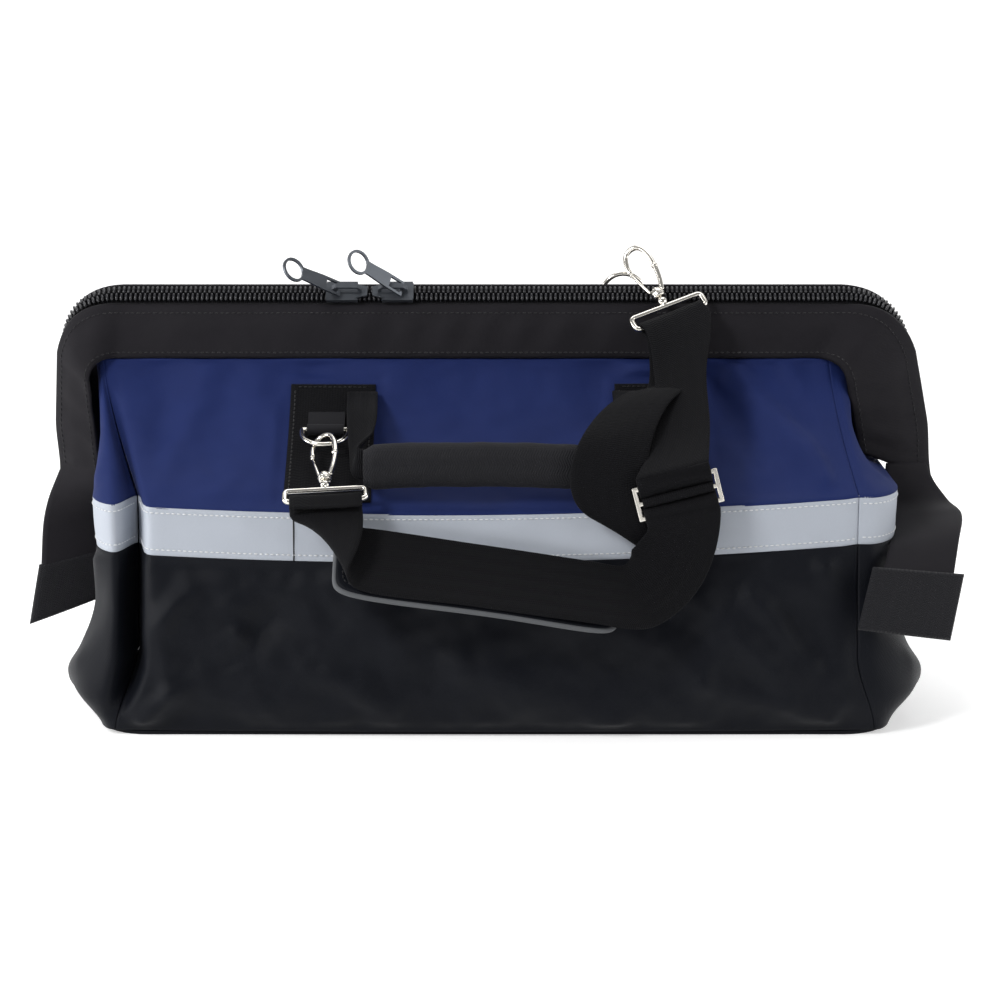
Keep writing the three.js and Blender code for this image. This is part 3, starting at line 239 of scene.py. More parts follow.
# Round wire along a line of points
def wireMesh(line, radius, sides=16, closed=False):
    line = np.asarray(line, float)
    count = len(line)
    tangent = np.gradient(line, axis=0)
    if closed:
        tangent = np.roll(line, -1, axis=0) - np.roll(line, 1, axis=0)
    tangent = units(tangent)
    side = unit(np.cross(tangent[0], guideFor(tangent[0])))
    sidesAt = []
    for t in tangent:
        side = unit(side - t * np.dot(side, t))
        sidesAt.append(side)
    sidesAt = np.array(sidesAt)
    if closed:
        other = np.cross(tangent[0], sidesAt[0])
        twist = math.atan2(np.dot(sidesAt[-1], other), np.dot(sidesAt[-1], sidesAt[0]))
        for i in range(count):
            angle = -twist * i / (count - 1)
            up = np.cross(tangent[i], sidesAt[i])
            sidesAt[i] = sidesAt[i] * math.cos(angle) + up * math.sin(angle)
    radii = np.broadcast_to(np.asarray(radius, float), (count,))
    points = []
    for p, t, s, r in zip(line, tangent, sidesAt, radii):
        up = np.cross(t, s)
        points += [p + r * (math.cos(a) * s + math.sin(a) * up)
                   for a in np.linspace(0, 2 * math.pi, sides, endpoint=False)]
    return points, ringFaces(count, sides, closed)


def joined(parts):
    points, faces = [], []
    for somePoints, someFaces in parts:
        start = len(points)
        points += list(somePoints)
        faces += [tuple(i + start for i in f) for f in someFaces]
    return points, faces


def ball(centre, radius, rings=10, sides=16):
    angles = [math.pi * i / rings for i in range(rings + 1)]
    points, faces = turned([(-math.cos(a) * radius, math.sin(a) * radius) for a in angles], sides)
    return [np.asarray(centre, float) + np.asarray(p) for p in points], faces


# A round rod between two points with softened ends
def rod(a, b, radius, sides=20, soft=0.3):
    a, b = np.asarray(a, float), np.asarray(b, float)
    way = unit(b - a)
    length = np.linalg.norm(b - a)
    soft = min(soft, radius * 0.6, length * 0.3)
    end = [(0, 0), (0, radius - soft), (soft * 0.3, radius - soft * 0.3), (soft, radius)]
    points, faces = turned(end + [(length - d, r) for d, r in end[::-1]], sides)
    side = unit(np.cross(guideFor(way), way))
    up = np.cross(way, side)
    return [a + p[0] * way + p[1] * side + p[2] * up for p in np.asarray(points)], faces


# Shader groups shared by the materials
def newGroup(name, inputs, outputs):
    tree = bpy.data.node_groups.new(name, "ShaderNodeTree")
    for label, value in inputs.items():
        tree.interface.new_socket(name=label, in_out="INPUT", socket_type="NodeSocketFloat").default_value = value
    for label in outputs:
        tree.interface.new_socket(name=label, in_out="OUTPUT", socket_type="NodeSocketFloat")
    start = tree.nodes.new("NodeGroupInput")
    end = tree.nodes.new("NodeGroupOutput")
    start.location, end.location = (-900, 0), (500, 0)
    return tree, start, end


def mathNode(tree, operation, a, b=None, c=None):
    made = tree.nodes.new("ShaderNodeMath")
    made.operation = operation
    for socket, value in zip(made.inputs, (a, b, c)):
        if value is None:
            continue
        if isinstance(value, (int, float)):
            socket.default_value = value
        else:
            tree.links.new(value, socket)
    return made.outputs[0]


def noiseNode(tree, scale, detail=2):
    coords = tree.nodes.new("ShaderNodeTexCoord")
    made = tree.nodes.new("ShaderNodeTexNoise")
    made.inputs["Scale"].default_value = scale
    made.inputs["Detail"].default_value = detail
    tree.links.new(coords.outputs["Object"], made.inputs["Vector"])
    return made.outputs[0]


# A place along and across the cloth
def clothPlace(tree):
    split = tree.nodes.new("ShaderNodeSeparateXYZ")
    tree.links.new(tree.nodes.new("ShaderNodeUVMap").outputs[0], split.inputs[0])
    return split.outputs[0], split.outputs[1]


# The angle that a yarn has turned by at that place, with its pitch in millimetres
def yarnTurn(tree, where, pitch):
    return mathNode(tree, "MULTIPLY", where, mathNode(tree, "DIVIDE", 2 * math.pi * 1000, pitch))


# Woven cloth: yarns over and under each other, with slow unevenness, and painted shade that darkens the tone where the
# yarns dip
def weaveGroup():
    tree, start, end = newGroup("weave", dict(Pitch=0.9, Slant=0.0, Mottle=0.12), ("Height", "Tone"))
    u, v = (yarnTurn(tree, where, start.outputs["Pitch"]) for where in clothPlace(tree))
    warp = mathNode(tree, "SINE", mathNode(tree, "MULTIPLY_ADD", v, start.outputs["Slant"], u))
    height = mathNode(tree, "MULTIPLY", warp, mathNode(tree, "SINE", v))
    cloud, fuzz = noiseNode(tree, 45, 4), noiseNode(tree, 900)
    centred = mathNode(tree, "SUBTRACT", mathNode(tree, "ADD", cloud, fuzz), 1.0)
    tone = mathNode(tree, "MULTIPLY_ADD", centred, start.outputs["Mottle"], 1.0)
    tree.links.new(mathNode(tree, "MULTIPLY_ADD", fuzz, 0.6, height), end.inputs["Height"])
    # The tone is darker where the weave is low: painted shade in the hollows between the yarns, on top of the random
    # mottle
    tree.links.new(mathNode(tree, "MULTIPLY_ADD", height, 0.06, tone), end.inputs["Tone"])
    return tree


# Webbing: ribs along its length with slanted picks across them, with painted shade darkening the tone in their hollows
def ribGroup():
    tree, start, end = newGroup("ribs", dict(Pitch=1.6, Pick=1.3, Slant=1.0), ("Height", "Tone"))
    along, across = clothPlace(tree)
    zigzag = mathNode(tree, "PINGPONG", mathNode(tree, "MULTIPLY", across, 1000.0), 4.0)
    turn = yarnTurn(tree, along, start.outputs["Pick"])
    picks = mathNode(tree, "SINE", mathNode(tree, "MULTIPLY_ADD", zigzag, start.outputs["Slant"], turn))
    lines = mathNode(tree, "SINE", yarnTurn(tree, across, start.outputs["Pitch"]))
    height = mathNode(tree, "MULTIPLY_ADD", lines, 0.35, picks)
    fuzz = noiseNode(tree, 700)
    tree.links.new(mathNode(tree, "MULTIPLY_ADD", fuzz, 0.7, height), end.inputs["Height"])
    # The tone is darker where the ribs and picks are low: painted shade in the hollows
    tree.links.new(mathNode(tree, "MULTIPLY_ADD", height, 0.08, 1.0), end.inputs["Tone"])
    return tree


# Bare or plated metal: faint marks in the roughness
def wornGroup():
    tree, start, end = newGroup("worn", dict(Roughness=0.2, Spread=0.12), ("Roughness",))
    marks = mathNode(tree, "SUBTRACT", noiseNode(tree, 260, 5), 0.5)
    rough = mathNode(tree, "MULTIPLY_ADD", marks, start.outputs["Spread"], start.outputs["Roughness"])
    tree.links.new(rough, end.inputs["Roughness"])
    return tree


weave, ribs, worn = weaveGroup(), ribGroup(), wornGroup()


def toLinear(colour):
    return [((c / 255 + 0.055) / 1.055) ** 2.4 if c > 10 else c / 255 / 12.92 for c in colour] + [1.0]


def newMaterial(name):
    made = bpy.data.materials.new(name)
    made.use_nodes = True
    return made, made.node_tree, made.node_tree.nodes["Principled BSDF"]


def useGroup(tree, group, values):
    node = tree.nodes.new("ShaderNodeGroup")
    node.node_tree = group
    for label, value in values.items():
        node.inputs[label].default_value = value
    return node


# Cloth of one colour, with the weave in its tone and in a fine bump; the tone carries painted shade in the weave's
# hollows
def clothMaterial(name, colour, group, roughness, sheen, bump, specular=0.3, distance=0.12, **values):
    made, tree, shader = newMaterial(name)
    node = useGroup(tree, group, values)
    tint = tree.nodes.new("ShaderNodeVectorMath")
    tint.operation = "SCALE"
    tint.inputs[0].default_value = toLinear(colour)[:3]
    tree.links.new(node.outputs["Tone"], tint.inputs["Scale"])
    tree.links.new(tint.outputs[0], shader.inputs["Base Color"])
    lift = tree.nodes.new("ShaderNodeBump")
    lift.inputs["Strength"].default_value = bump
    lift.inputs["Distance"].default_value = distance / 1000
    tree.links.new(node.outputs["Height"], lift.inputs["Height"])
    tree.links.new(lift.outputs[0], shader.inputs["Normal"])
    for label, value in {"Roughness": roughness, "Specular IOR Level": specular, "Sheen Weight": sheen,
                         "Sheen Roughness": 0.4}.items():
        shader.inputs[label].default_value = value
    return made


def metalMaterial(name, colour, roughness, metallic=1.0, spread=0.1):
    made, tree, shader = newMaterial(name)
    node = useGroup(tree, worn, dict(Roughness=roughness, Spread=spread))
    tree.links.new(node.outputs["Roughness"], shader.inputs["Roughness"])
    shader.inputs["Base Color"].default_value = toLinear(colour)
    shader.inputs["Metallic"].default_value = metallic
    return made


# Cloths have a colour, a group, roughness, sheen, bump and specular; metals a colour, roughness, metallic and spread
blackCloth = clothMaterial("blackCloth", (16, 18, 24), weave, 0.42, 0.01, 0.5, 0.1, Pitch=1.1, Mottle=0.2)
collarCloth = clothMaterial("collarCloth", (22, 20, 25), weave, 0.7, 0.03, 0.5, 0.2, Pitch=1.0, Mottle=0.25)
navyCloth = clothMaterial("navyCloth", (20, 36, 88), weave, 0.7, 0.03, 0.5, 0.2, Pitch=1.0, Mottle=0.18)
bandCloth = clothMaterial("bandCloth", (178, 184, 194), weave, 0.5, 0.0, 0.12, 0.4, Pitch=0.8, Mottle=0.05)
threadCloth = clothMaterial("threadWhite", (222, 224, 226), weave, 0.7, 0.1, 0.1)
darkThread = clothMaterial("threadDark", (20, 20, 23), weave, 0.6, 0.3, 0.1)
webbingCloth = clothMaterial("webbingCloth", (12, 12, 15), ribs, 0.7, 0.03, 0.6, 0.1, 0.2)
twillCloth = clothMaterial("twillCloth", (24, 24, 28), ribs, 0.75, 0.06, 0.6, 0.22, 0.2, Slant=2.2, Pick=1.5)
padEdge = clothMaterial("padEdge", (92, 94, 97), weave, 0.85, 0.1, 0.3)
coilPlastic = metalMaterial("coilPlastic", (34, 34, 38), 0.28, 0.0, 0.05)
nickel = metalMaterial("nickel", (226, 222, 214), 0.16)
gunmetal = metalMaterial("gunmetal", (104, 108, 114), 0.34, 0.9, 0.15)
stripSteel = metalMaterial("stripSteel", (130, 132, 136), 0.4)
boardPlastic = metalMaterial("boardPlastic", (52, 52, 54), 0.7, 0.0)
print("materials made")


# The body's shape, the same as the solids it covers
def outline(z):
    low = ease(z, 0, body["bulgeHeight"])
    high = ease(z, body["bulgeHeight"], body["waistHeight"])
    narrowing = ease(z, body["bulgeHeight"], body["hollowHeight"])
    hollow = mix(mix(body["baseLength"], body["bulgeLength"], low), body["hollowLength"], narrowing)
    a = mix(hollow, body["waistLength"], ease(z, body["hollowHeight"], body["waistHeight"]))
    b = mix(mix(body["baseDepth"], body["bulgeDepth"], low), body["waistDepth"], high)
    return a, b


def bandLow(x):
    s = x / body["waistLength"]
    return body["bandMiddle"] + body["bandEndRise"] * s * s + body["bandRightRise"] * s - body["bandWidth"] / 2


def bandHigh(x):
    return bandLow(x) + body["bandWidth"]


def seamAt(z):
    return mix(body["baseSeamX"], body["seamX"], ease(z, 0, body["seamFlare"]))


# The cloth dips towards the corner seams, more on the left
valley = dict(left=28.0, right=2.0, faceWidth=5.0, endWidth=6.0, foot=(6, 46))


def valleyDepth(distance, z, left, width):
    deep = np.where(left, valley["left"], valley["right"])
    return deep * np.exp(-(distance / width) ** 2) * ease(z, *valley["foot"])


def facePoint(s, z, side):
    b = outline(z)[1]
    half = seamAt(z) - body["seamGap"] / 2
    x = s * half
    dip = valleyDepth((1 - np.abs(s)) * half, z, s < 0, valley["faceWidth"])
    return np.stack([x, side * (b + body["frontBulge"] * (1 - s * s) - dip), z + 0 * s], axis=-1)


def endPoint(t, z, side):
    a, b = outline(z)
    start = seamAt(z) + body["seamGap"] / 2
    size = np.abs(t)
    straight = 1 - body["endTurn"]
    angle = np.clip((size - straight) / body["endTurn"], 0, 1) * math.pi / 2
    x = np.where(size <= straight, a, start + (a - start) * np.cos(angle))
    y = np.where(size <= straight, t / straight * (b - body["cornerDepth"]),
                 np.sign(t) * (b - body["cornerDepth"] + body["cornerDepth"] * np.sin(angle)))
    dip = valleyDepth(x - start, z, side < 0, valley["endWidth"])
    return np.stack([side * x, y - np.sign(t) * dip, z + 0 * t], axis=-1)


def gridOf(rows, columns):
    s, v = np.meshgrid(np.linspace(-1, 1, columns + 1), np.linspace(0, 1, rows + 1))
    return s, v


def upperTop():
    return mouth["height"] - collarSize["top"] - collarSize["seam"]


def stacked(*axes):
    return np.stack(axes, axis=-1)


def upperFace(s, v, side):
    start = facePoint(s, bandHigh(s * body["seamX"]) + body["panelGap"], side)
    rise = 1 - (1 - v) ** body["rise"]
    topX = np.where(s < 0, s * body["topLeft"], s * body["topRight"])
    topY = -body["topDepth"] if side < 0 else body["topDepth"] - body["rearShift"]
    return stacked(mix(start[..., 0], topX, rise), mix(start[..., 1], topY, rise), mix(start[..., 2], upperTop(), v))


def upperEnd(t, v, side):
    start = endPoint(t, bandHigh(side * body["seamX"]) + body["panelGap"] + 0 * t, side)
    rise = 1 - (1 - v) ** body["rise"]
    seamStart = side * (seamAt(start[..., 2]) + body["seamGap"] / 2)
    seamEnd = (-body["topLeft"] if side < 0 else body["topRight"]) + side * body["seamGap"]
    shoulder = (1 - v) ** (2 if side < 0 else 6)
    swell = (start[..., 0] - seamStart) * shoulder
    swell = swell + side * body["swellLeft" if side < 0 else "swellRight"] * (1 - t ** 4) * rise
    topY = np.where(t < 0, t * body["topDepth"], t * (body["topDepth"] - body["rearShift"]))
    return stacked(mix(seamStart, seamEnd, rise) + swell, mix(start[..., 1], topY, rise),
                   mix(start[..., 2], upperTop(), v))


# The line of the mouth: place, way out, the chain's width and face directions, and how far round to the top
def mouthLine(corner, foot, legSteps, cornerSteps, topSteps, left=0, right=0, top=0, footLeft=None, footRight=None):
    def legX(z, side):
        return mouth["pivotHalf"] - mouth["splayLeft" if side < 0 else "splayRight"] * (z - mouth["pivotHeight"])

    crown = mouth["height"] - top
    bend = crown - corner

    def leg(side, inset, footInset, footAt):
        out = []
        for i in range(legSteps):
            z = mix(footAt, bend, i / legSteps)
            depth = mix(inset if footInset is None else footInset, inset, i / legSteps)
            out.append((side * (legX(z, side) - depth), z, 0.0, side))
        edge, start = legX(crown, side) - inset, legX(bend, side) - inset
        for i in range(cornerSteps):
            t = i / cornerSteps
            x = (1 - t) ** 2 * start + 2 * t * (1 - t) * edge + t * t * (edge - corner)
            out.append((side * x, (1 - t) ** 2 * bend + (2 * t * (1 - t) + t * t) * crown, t, side))
        return out, side * (edge - corner)

    leftLeg, leftEnd = leg(-1, left, footLeft, foot[0])
    rightLeg, rightEnd = leg(1, right, footRight, foot[1])
    across = [(mix(leftEnd, rightEnd, i / topSteps), crown, 1.0, 0) for i in range(topSteps + 1)]
    stations = []
    for x, z, up, side in leftLeg + across + rightLeg[::-1]:
        angle = up * math.pi / 2
        out = unit([side * math.cos(angle), 0, 1 if side == 0 else math.sin(angle)])
        tilt = math.radians(mouth["tilt"]) * up
        y = mouth["y"] * (z + top * up - mouth["pivotHeight"]) / (mouth["height"] - mouth["pivotHeight"])
        stations.append(dict(
            at=np.array([x, y, z]), up=up, out=out,
            wide=np.array([0, math.cos(tilt), 0]) + out * math.sin(tilt),
            face=np.array([0, -math.sin(tilt), 0]) + out * math.cos(tilt),
        ))
    return stations


def place(station, w, n):
    return station["at"] + station["wide"] * w + station["face"] * n


# Ridges in cloth: each runs from one place to another on the panel and fades out at its ends
def folds(x, z, lines):
    height = np.zeros_like(x, dtype=float)
    for x0, z0, x1, z1, tall, width in lines:
        length = math.hypot(x1 - x0, z1 - z0)
        dx, dz = (x1 - x0) / length, (z1 - z0) / length
        along = ((x - x0) * dx + (z - z0) * dz) / length
        off = (z - z0) * dx - (x - x0) * dz
        past = np.maximum(np.maximum(-along, along - 1), 0) * length / width
        height += tall * np.exp(-past ** 2 - (off / width) ** 2) * (0.75 + 0.25 * np.cos(along * 5 + x0))
    return height


def unevenness(grid, scale, amount, seed=0.0):
    flat = grid.reshape(-1, 3) / scale + seed
    values = np.array([noise.fractal(Vector(p), 0.9, 2.1, 3) for p in flat])
    return amount * values.reshape(grid.shape[:2])


# Keeps the seams of a panel where its neighbours meet it
def seamFade(s, v, edge=0.06, foot=0.08, head=0.08):
    sideways = ease(1 - np.abs(s), 0, edge * 2)
    return sideways * ease(v, 0, foot) * ease(1 - v, 0, head)


# Moves a panel's points along its outer face by a lift that is nought at its seams
def lifted(grid, side, lift):
    return grid + normalsOf(grid) * (side * lift)[..., None]


# A panel in place of its solid, moved along its outer face by a lift
def panel(name, grid, side, lift, thick, material, node):
    made = clothSheet(name, lifted(grid, side, lift), side * thick, material, "bag")
    settle(made, node)


sides = (("front", -1), ("rear", 1))
ends = (("left", -1), ("right", 1))

# The black lower panels
lowerPanel = dict(
    columns=300, rows=70, thick=1.8,
    front=[(-150, 60, -208, 12, 9.0, 8), (-128, 74, -196, 26, -6.5, 10), (-178, 88, -212, 52, 5.0, 8),
           (-206, 100, -190, 30, 4.5, 9), (-110, 44, -60, 20, 4.5, 9), (-84, 96, -58, 50, 2.2, 12),
           (-20, 44, 70, 14, 4.5, 10), (40, 84, 120, 44, 2.8, 12), (110, 92, 176, 30, 5.0, 10),
           (150, 84, 204, 24, 6.0, 8), (196, 100, 206, 40, 4.5, 8), (120, 34, 196, 12, 4.0, 7),
           (-60, 88, 40, 70, 1.8, 16), (200, 96, 130, 84, 1.8, 10), (0, 10, 110, 16, 1.6, 8),
           (-100, 14, -10, 8, 1.4, 7)],
    rear=[(150, 52, 200, 10, 2.0, 9), (-60, 60, -150, 20, 1.3, 16), (60, 88, -40, 70, 1.0, 18),
          (0, 12, -110, 16, 1.1, 8)],
)
for name, side in sides:
    s, v = gridOf(lowerPanel["rows"], lowerPanel["columns"])
    z = mix(body["lowEdge"], bandLow(s * body["seamX"]) - body["panelGap"], v)
    grid = facePoint(s, z, side)
    lift = folds(grid[..., 0], grid[..., 2], lowerPanel[name]) + unevenness(grid, 46, 3.2, 3.0 * side)
    panel(f"{name}LowerPanel", grid, -side, lift * seamFade(s, v), lowerPanel["thick"], blackCloth,
          f"{name}_lower_panel")
endPanel = dict(
    columns=110, rows=54, thick=1.8,
    creases=[(-88, 104, -74, 12, 4.0, 9), (-60, 100, -20, 30, 3.4, 10), (-96, 40, -50, 14, 3.0, 8),
             (40, 95, 70, 25, 3.0, 10), (0, 80, 10, 20, 2.0, 12)],
)
for name, side in ends:
    s, v = gridOf(endPanel["rows"], endPanel["columns"])
    z = mix(body["lowEdge"], bandLow(side * body["seamX"]) - body["panelGap"], v)
    grid = endPoint(s, z, side)
    lift = folds(grid[..., 1], grid[..., 2], endPanel["creases"]) + unevenness(grid, 60, 1.2, 8.0 * side)
    panel(f"{name}EndLower", grid, side, lift * seamFade(s, v), endPanel["thick"], blackCloth,
          f"{name}_end_lower")
print("lower panels made")


# Each row of values where the line has run for the length d
def onLine(d, steps, values):
    return np.array([np.interp(d, steps, values[:, k]) for k in range(3)])


def runLengths(line):
    return np.concatenate([[0], np.cumsum(np.linalg.norm(np.diff(line, axis=0), axis=1))])


# Stitches of thread along a line on the cloth, a pitch apart
def stitchRow(name, line, normals, pitch, material, bodyName, long=2.2, thick=0.42, lift=0.15):
    line, normals = np.asarray(line), np.asarray(normals)
    steps = runLengths(line)
    profile = [(-long / 2, 0), (-long * 0.42, thick * 0.7), (0, thick), (long * 0.42, thick * 0.7), (long / 2, 0)]
    template, faces = turned(profile, 6)
    places = []
    for d in np.arange(pitch, steps[-1] - pitch / 2, pitch):
        at, ahead = onLine(d, steps, line), onLine(d + 0.5, steps, line)
        normal = unit(onLine(d, steps, normals))
        x = unit(ahead - at)
        places.append(dict(at=at + normal * lift, x=x, y=unit(np.cross(normal, x)), z=normal))
    made = scatter(name, template, faces, places, material)
    if bodyName:
        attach(made, bodyName)
    return made


# The reflective band, with two rows of stitches
band = dict(
    columns=200, endColumns=110, rows=14, thick=1.6, stitchIn=3.2, pitch=3.2, joinX=-117, endStitchRows=(2, 12),
    creases=[(-30, 104, 10, 126, 0.7, 9), (-150, 130, -120, 108, 0.5, 8), (120, 112, 160, 128, 0.7, 9),
             (180, 112, 196, 132, 0.7, 7), (40, 110, 80, 122, 0.5, 8)],
)
for name, side in sides:
    s, v = gridOf(band["rows"], band["columns"])
    grid = facePoint(s, mix(bandLow(s * body["seamX"]), bandHigh(s * body["seamX"]), v), side)
    lift = folds(grid[..., 0] * -side, grid[..., 2], band["creases"]) + unevenness(grid, 40, 0.6, 5.0)
    lift = lift * seamFade(s, v, 0.03, 0.3, 0.3)
    panel(f"{name}Band", grid, -side, lift, band["thick"], bandCloth, f"{name}_reflective_band")
    grid = lifted(grid, -side, lift)
    outward = -side * normalsOf(grid)
    inset = band["stitchIn"] / body["bandWidth"]
    for label, row in (("Low", inset), ("High", 1 - inset)):
        k = row * band["rows"]
        i, f = int(k), k - int(k)
        line = mix(grid[i], grid[i + 1], f)
        stitchRow(f"{name}BandThread{label}", line, outward[i], band["pitch"], threadCloth, "bag")
for name, side in ends:
    s, v = gridOf(band["rows"], band["endColumns"])
    grid = endPoint(s, mix(bandLow(side * body["seamX"]), bandHigh(side * body["seamX"]), v), side)
    outward = side * normalsOf(grid)
    lift = unevenness(grid, 40, 0.8, 9.0) * seamFade(s, v, 0.05, 0.3, 0.3)
    panel(f"{name}EndBand", grid, side, lift, band["thick"], bandCloth, f"{name}_end_band")
    grid = lifted(grid, side, lift)
    for label, row in zip(("Low", "High"), band["endStitchRows"]):
        stitchRow(f"{name}EndThread{label}", grid[row], outward[row], band["pitch"], threadCloth, "bag")
# The band's own join, a dark line across it
joinLine = [[band["joinX"], 0, z] for z in np.linspace(bandLow(band["joinX"]), bandHigh(band["joinX"]), 12)]
for point in joinLine:
    point[1] = facePoint(np.array(band["joinX"] / body["seamX"]), point[2], -1)[1] - 0.25
points, faces = wireMesh(joinLine, 0.45, 8)
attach(makeObject("bandJoin", points, faces, darkThread), "bag")
print("reflective band made")


# The navy upper panels run between the body and the jaws, and lie flat under the handles' patches
anchor = dict(x=98, width=50, low=0.06, high=0.8, lift=1.9, thick=1.6, margin=9, marginFade=6, pitch=3)


def underAnchor(x, v):
    inside = anchor["width"] / 2 + anchor["margin"] - np.abs(np.abs(x) - anchor["x"])
    return ease(inside, 0, anchor["marginFade"]) * ease(anchor["high"] + 0.1 - v, 0, 0.06)


upperPanel = dict(
    columns=200, rows=60, thick=1.6,
    front=[(146, 200, 194, 150, 7.5, 8), (124, 206, 170, 146, -5.0, 10), (178, 204, 202, 166, 4.0, 7),
           (88, 206, 108, 150, 3.2, 11), (-172, 206, -194, 150, 3.0, 9), (-204, 206, -202, 150, -2.0, 8),
           (-146, 206, -152, 158, 2.0, 12), (-60, 206, -28, 150, 1.6, 16), (36, 206, 60, 156, 1.8, 12),
           (10, 143, 130, 147, 2.0, 8), (-204, 147, -126, 143, 1.8, 8), (150, 141, 198, 149, -2.2, 7)],
    rear=[(-144, 196, -192, 150, 2.4, 10), (150, 200, 190, 150, 2.0, 10), (60, 206, 20, 150, 1.0, 18),
          (-40, 142, -120, 146, 1.0, 9)],
)
for name, side in sides:
    s, v = gridOf(upperPanel["rows"], upperPanel["columns"])
    grid = upperFace(s, v, side)
    lift = folds(grid[..., 0], grid[..., 2], upperPanel[name]) + unevenness(grid, 52, 3.0, 11.0 * side)
    lift = lift * (1 - underAnchor(grid[..., 0], v))
    grid = lifted(grid, -side, lift * seamFade(s, v, 0.05, 0.1, 0.06))
    made = clothSheet(f"{name}UpperPanel", grid, -side * upperPanel["thick"], navyCloth)
    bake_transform(made)
    settle(made, f"{name}_upper_panel")
endUpper = dict(
    columns=60, rows=60, thick=1.6,
    creases=[(-70, 150, -30, 195, 2.0, 7), (60, 150, 25, 195, 2.0, 7), (-20, 140, -8, 190, -1.4, 8),
             (20, 140, 4, 190, -1.2, 8)],
)
for name, side in ends:
    for half, low, high, jaw in (("Front", -1, 0, "front_jaw"), ("Rear", 0, 1, "rear_jaw")):
        t, v = np.meshgrid(np.linspace(low, high, endUpper["columns"] + 1), np.linspace(0, 1, endUpper["rows"] + 1))
        grid = upperEnd(t, v, side)
        lift = folds(grid[..., 1], grid[..., 2], endUpper["creases"]) + unevenness(grid, 50, 1.2, 15.0 * side)
        grid = lifted(grid, side, lift * seamFade(t, v, 0.06, 0.1, 0.08))
        made = clothSheet(f"{name}EndUpper{half}", grid, side * endUpper["thick"], navyCloth)
        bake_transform(made)
        settle(made, f"{name}_end_upper" if half == "Front" else None)
print("upper panels made")

# Collars: wide black hems over the frames
collarCut = dict(rows=14, thick=2.4, steps=dict(legSteps=26, cornerSteps=16, topSteps=150))
outer = mouthLine(mouth["corner"], (collarSize["foot"], collarSize["foot"]), **collarCut["steps"])
inner = mouthLine(
    collarSize["corner"], (collarSize["innerFootLeft"], collarSize["innerFootRight"]), **collarCut["steps"],
    left=collarSize["left"], right=collarSize["right"], top=collarSize["top"],
    footLeft=collarSize["footLeft"], footRight=collarSize["footRight"],
)


def collarGrid(side):
    size = collarSize
    front = side < 0
    edgeTop, share = (size["edgeTop"], 0.4) if front else (size["rearEdgeTop"], 0.06)
    rows = []
    for r in np.linspace(0, 1, collarCut["rows"]) ** (1.0 if front else 1.4):
        line = []
        for station, inside in zip(outer, inner):
            up = station["up"]
            cover = size["cover"] * (1 - up) * float(ease(station["at"][2], *size["coverFade"]))
            edge = place(station, side * mix(size["edgeLeg"], edgeTop, up), cover if front else -size["rearDrop"] * up)
            fold = 0 if front else mix(2, size["rearFold"], up)
            low = inside["at"].copy()
            shoulder = mix(edge, low, share)
            low[1] = edge[1] + fold + side * mix(size["legLean"], size["lean"], up)
            shoulder[1] = mix(edge[1], low[1], 0.4) - size["swell"] if front else edge[1] + fold
            line.append(mix(edge, shoulder, r / share) if r < share else mix(shoulder, low, (r - share) / (1 - share)))
        rows.append(line)
    grid = np.array(rows)
    for _ in range(2 if front else 1):
        grid[1:-1] = (grid[:-2] + 2 * grid[1:-1] + grid[2:]) / 4
    return grid


# Bakes a collar piece's place into its points
def bendAtPivot(made, name):
    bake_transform(made)


for name, side in sides:
    grid = collarGrid(side)
    rows, columns = grid.shape[:2]
    s, v = np.meshgrid(np.linspace(-1, 1, columns), np.linspace(0, 1, rows))
    normal = normalsOf(grid)
    facing = np.sign(normal[rows // 2, columns // 2, 1] * side)
    puckers = unevenness(grid, 28, 0.7, 21.0 * side)
    puckers = puckers + 0.5 * np.sin(s * 61 + 5 * np.sin(s * 7)) * np.sin(v * math.pi)
    grid = lifted(grid, facing, puckers * ease(v, 0, 0.25) * ease(1 - np.abs(s), 0, 0.05))
    made = clothSheet(f"{name}Collar", grid, facing * collarCut["thick"], collarCloth, rim=0.5)
    bendAtPivot(made, name)
    settle(made, f"{name}_collar")
    for label, row in (("Top", 2), ("Low", rows - 2)):
        label = f"{name}CollarThread{label}"
        thread = stitchRow(label, grid[row], facing * normal[row], collarSize["pitch"], darkThread, None,
                           thick=collarSize["threadThick"])
        bendAtPivot(thread, name)
print("collars made")

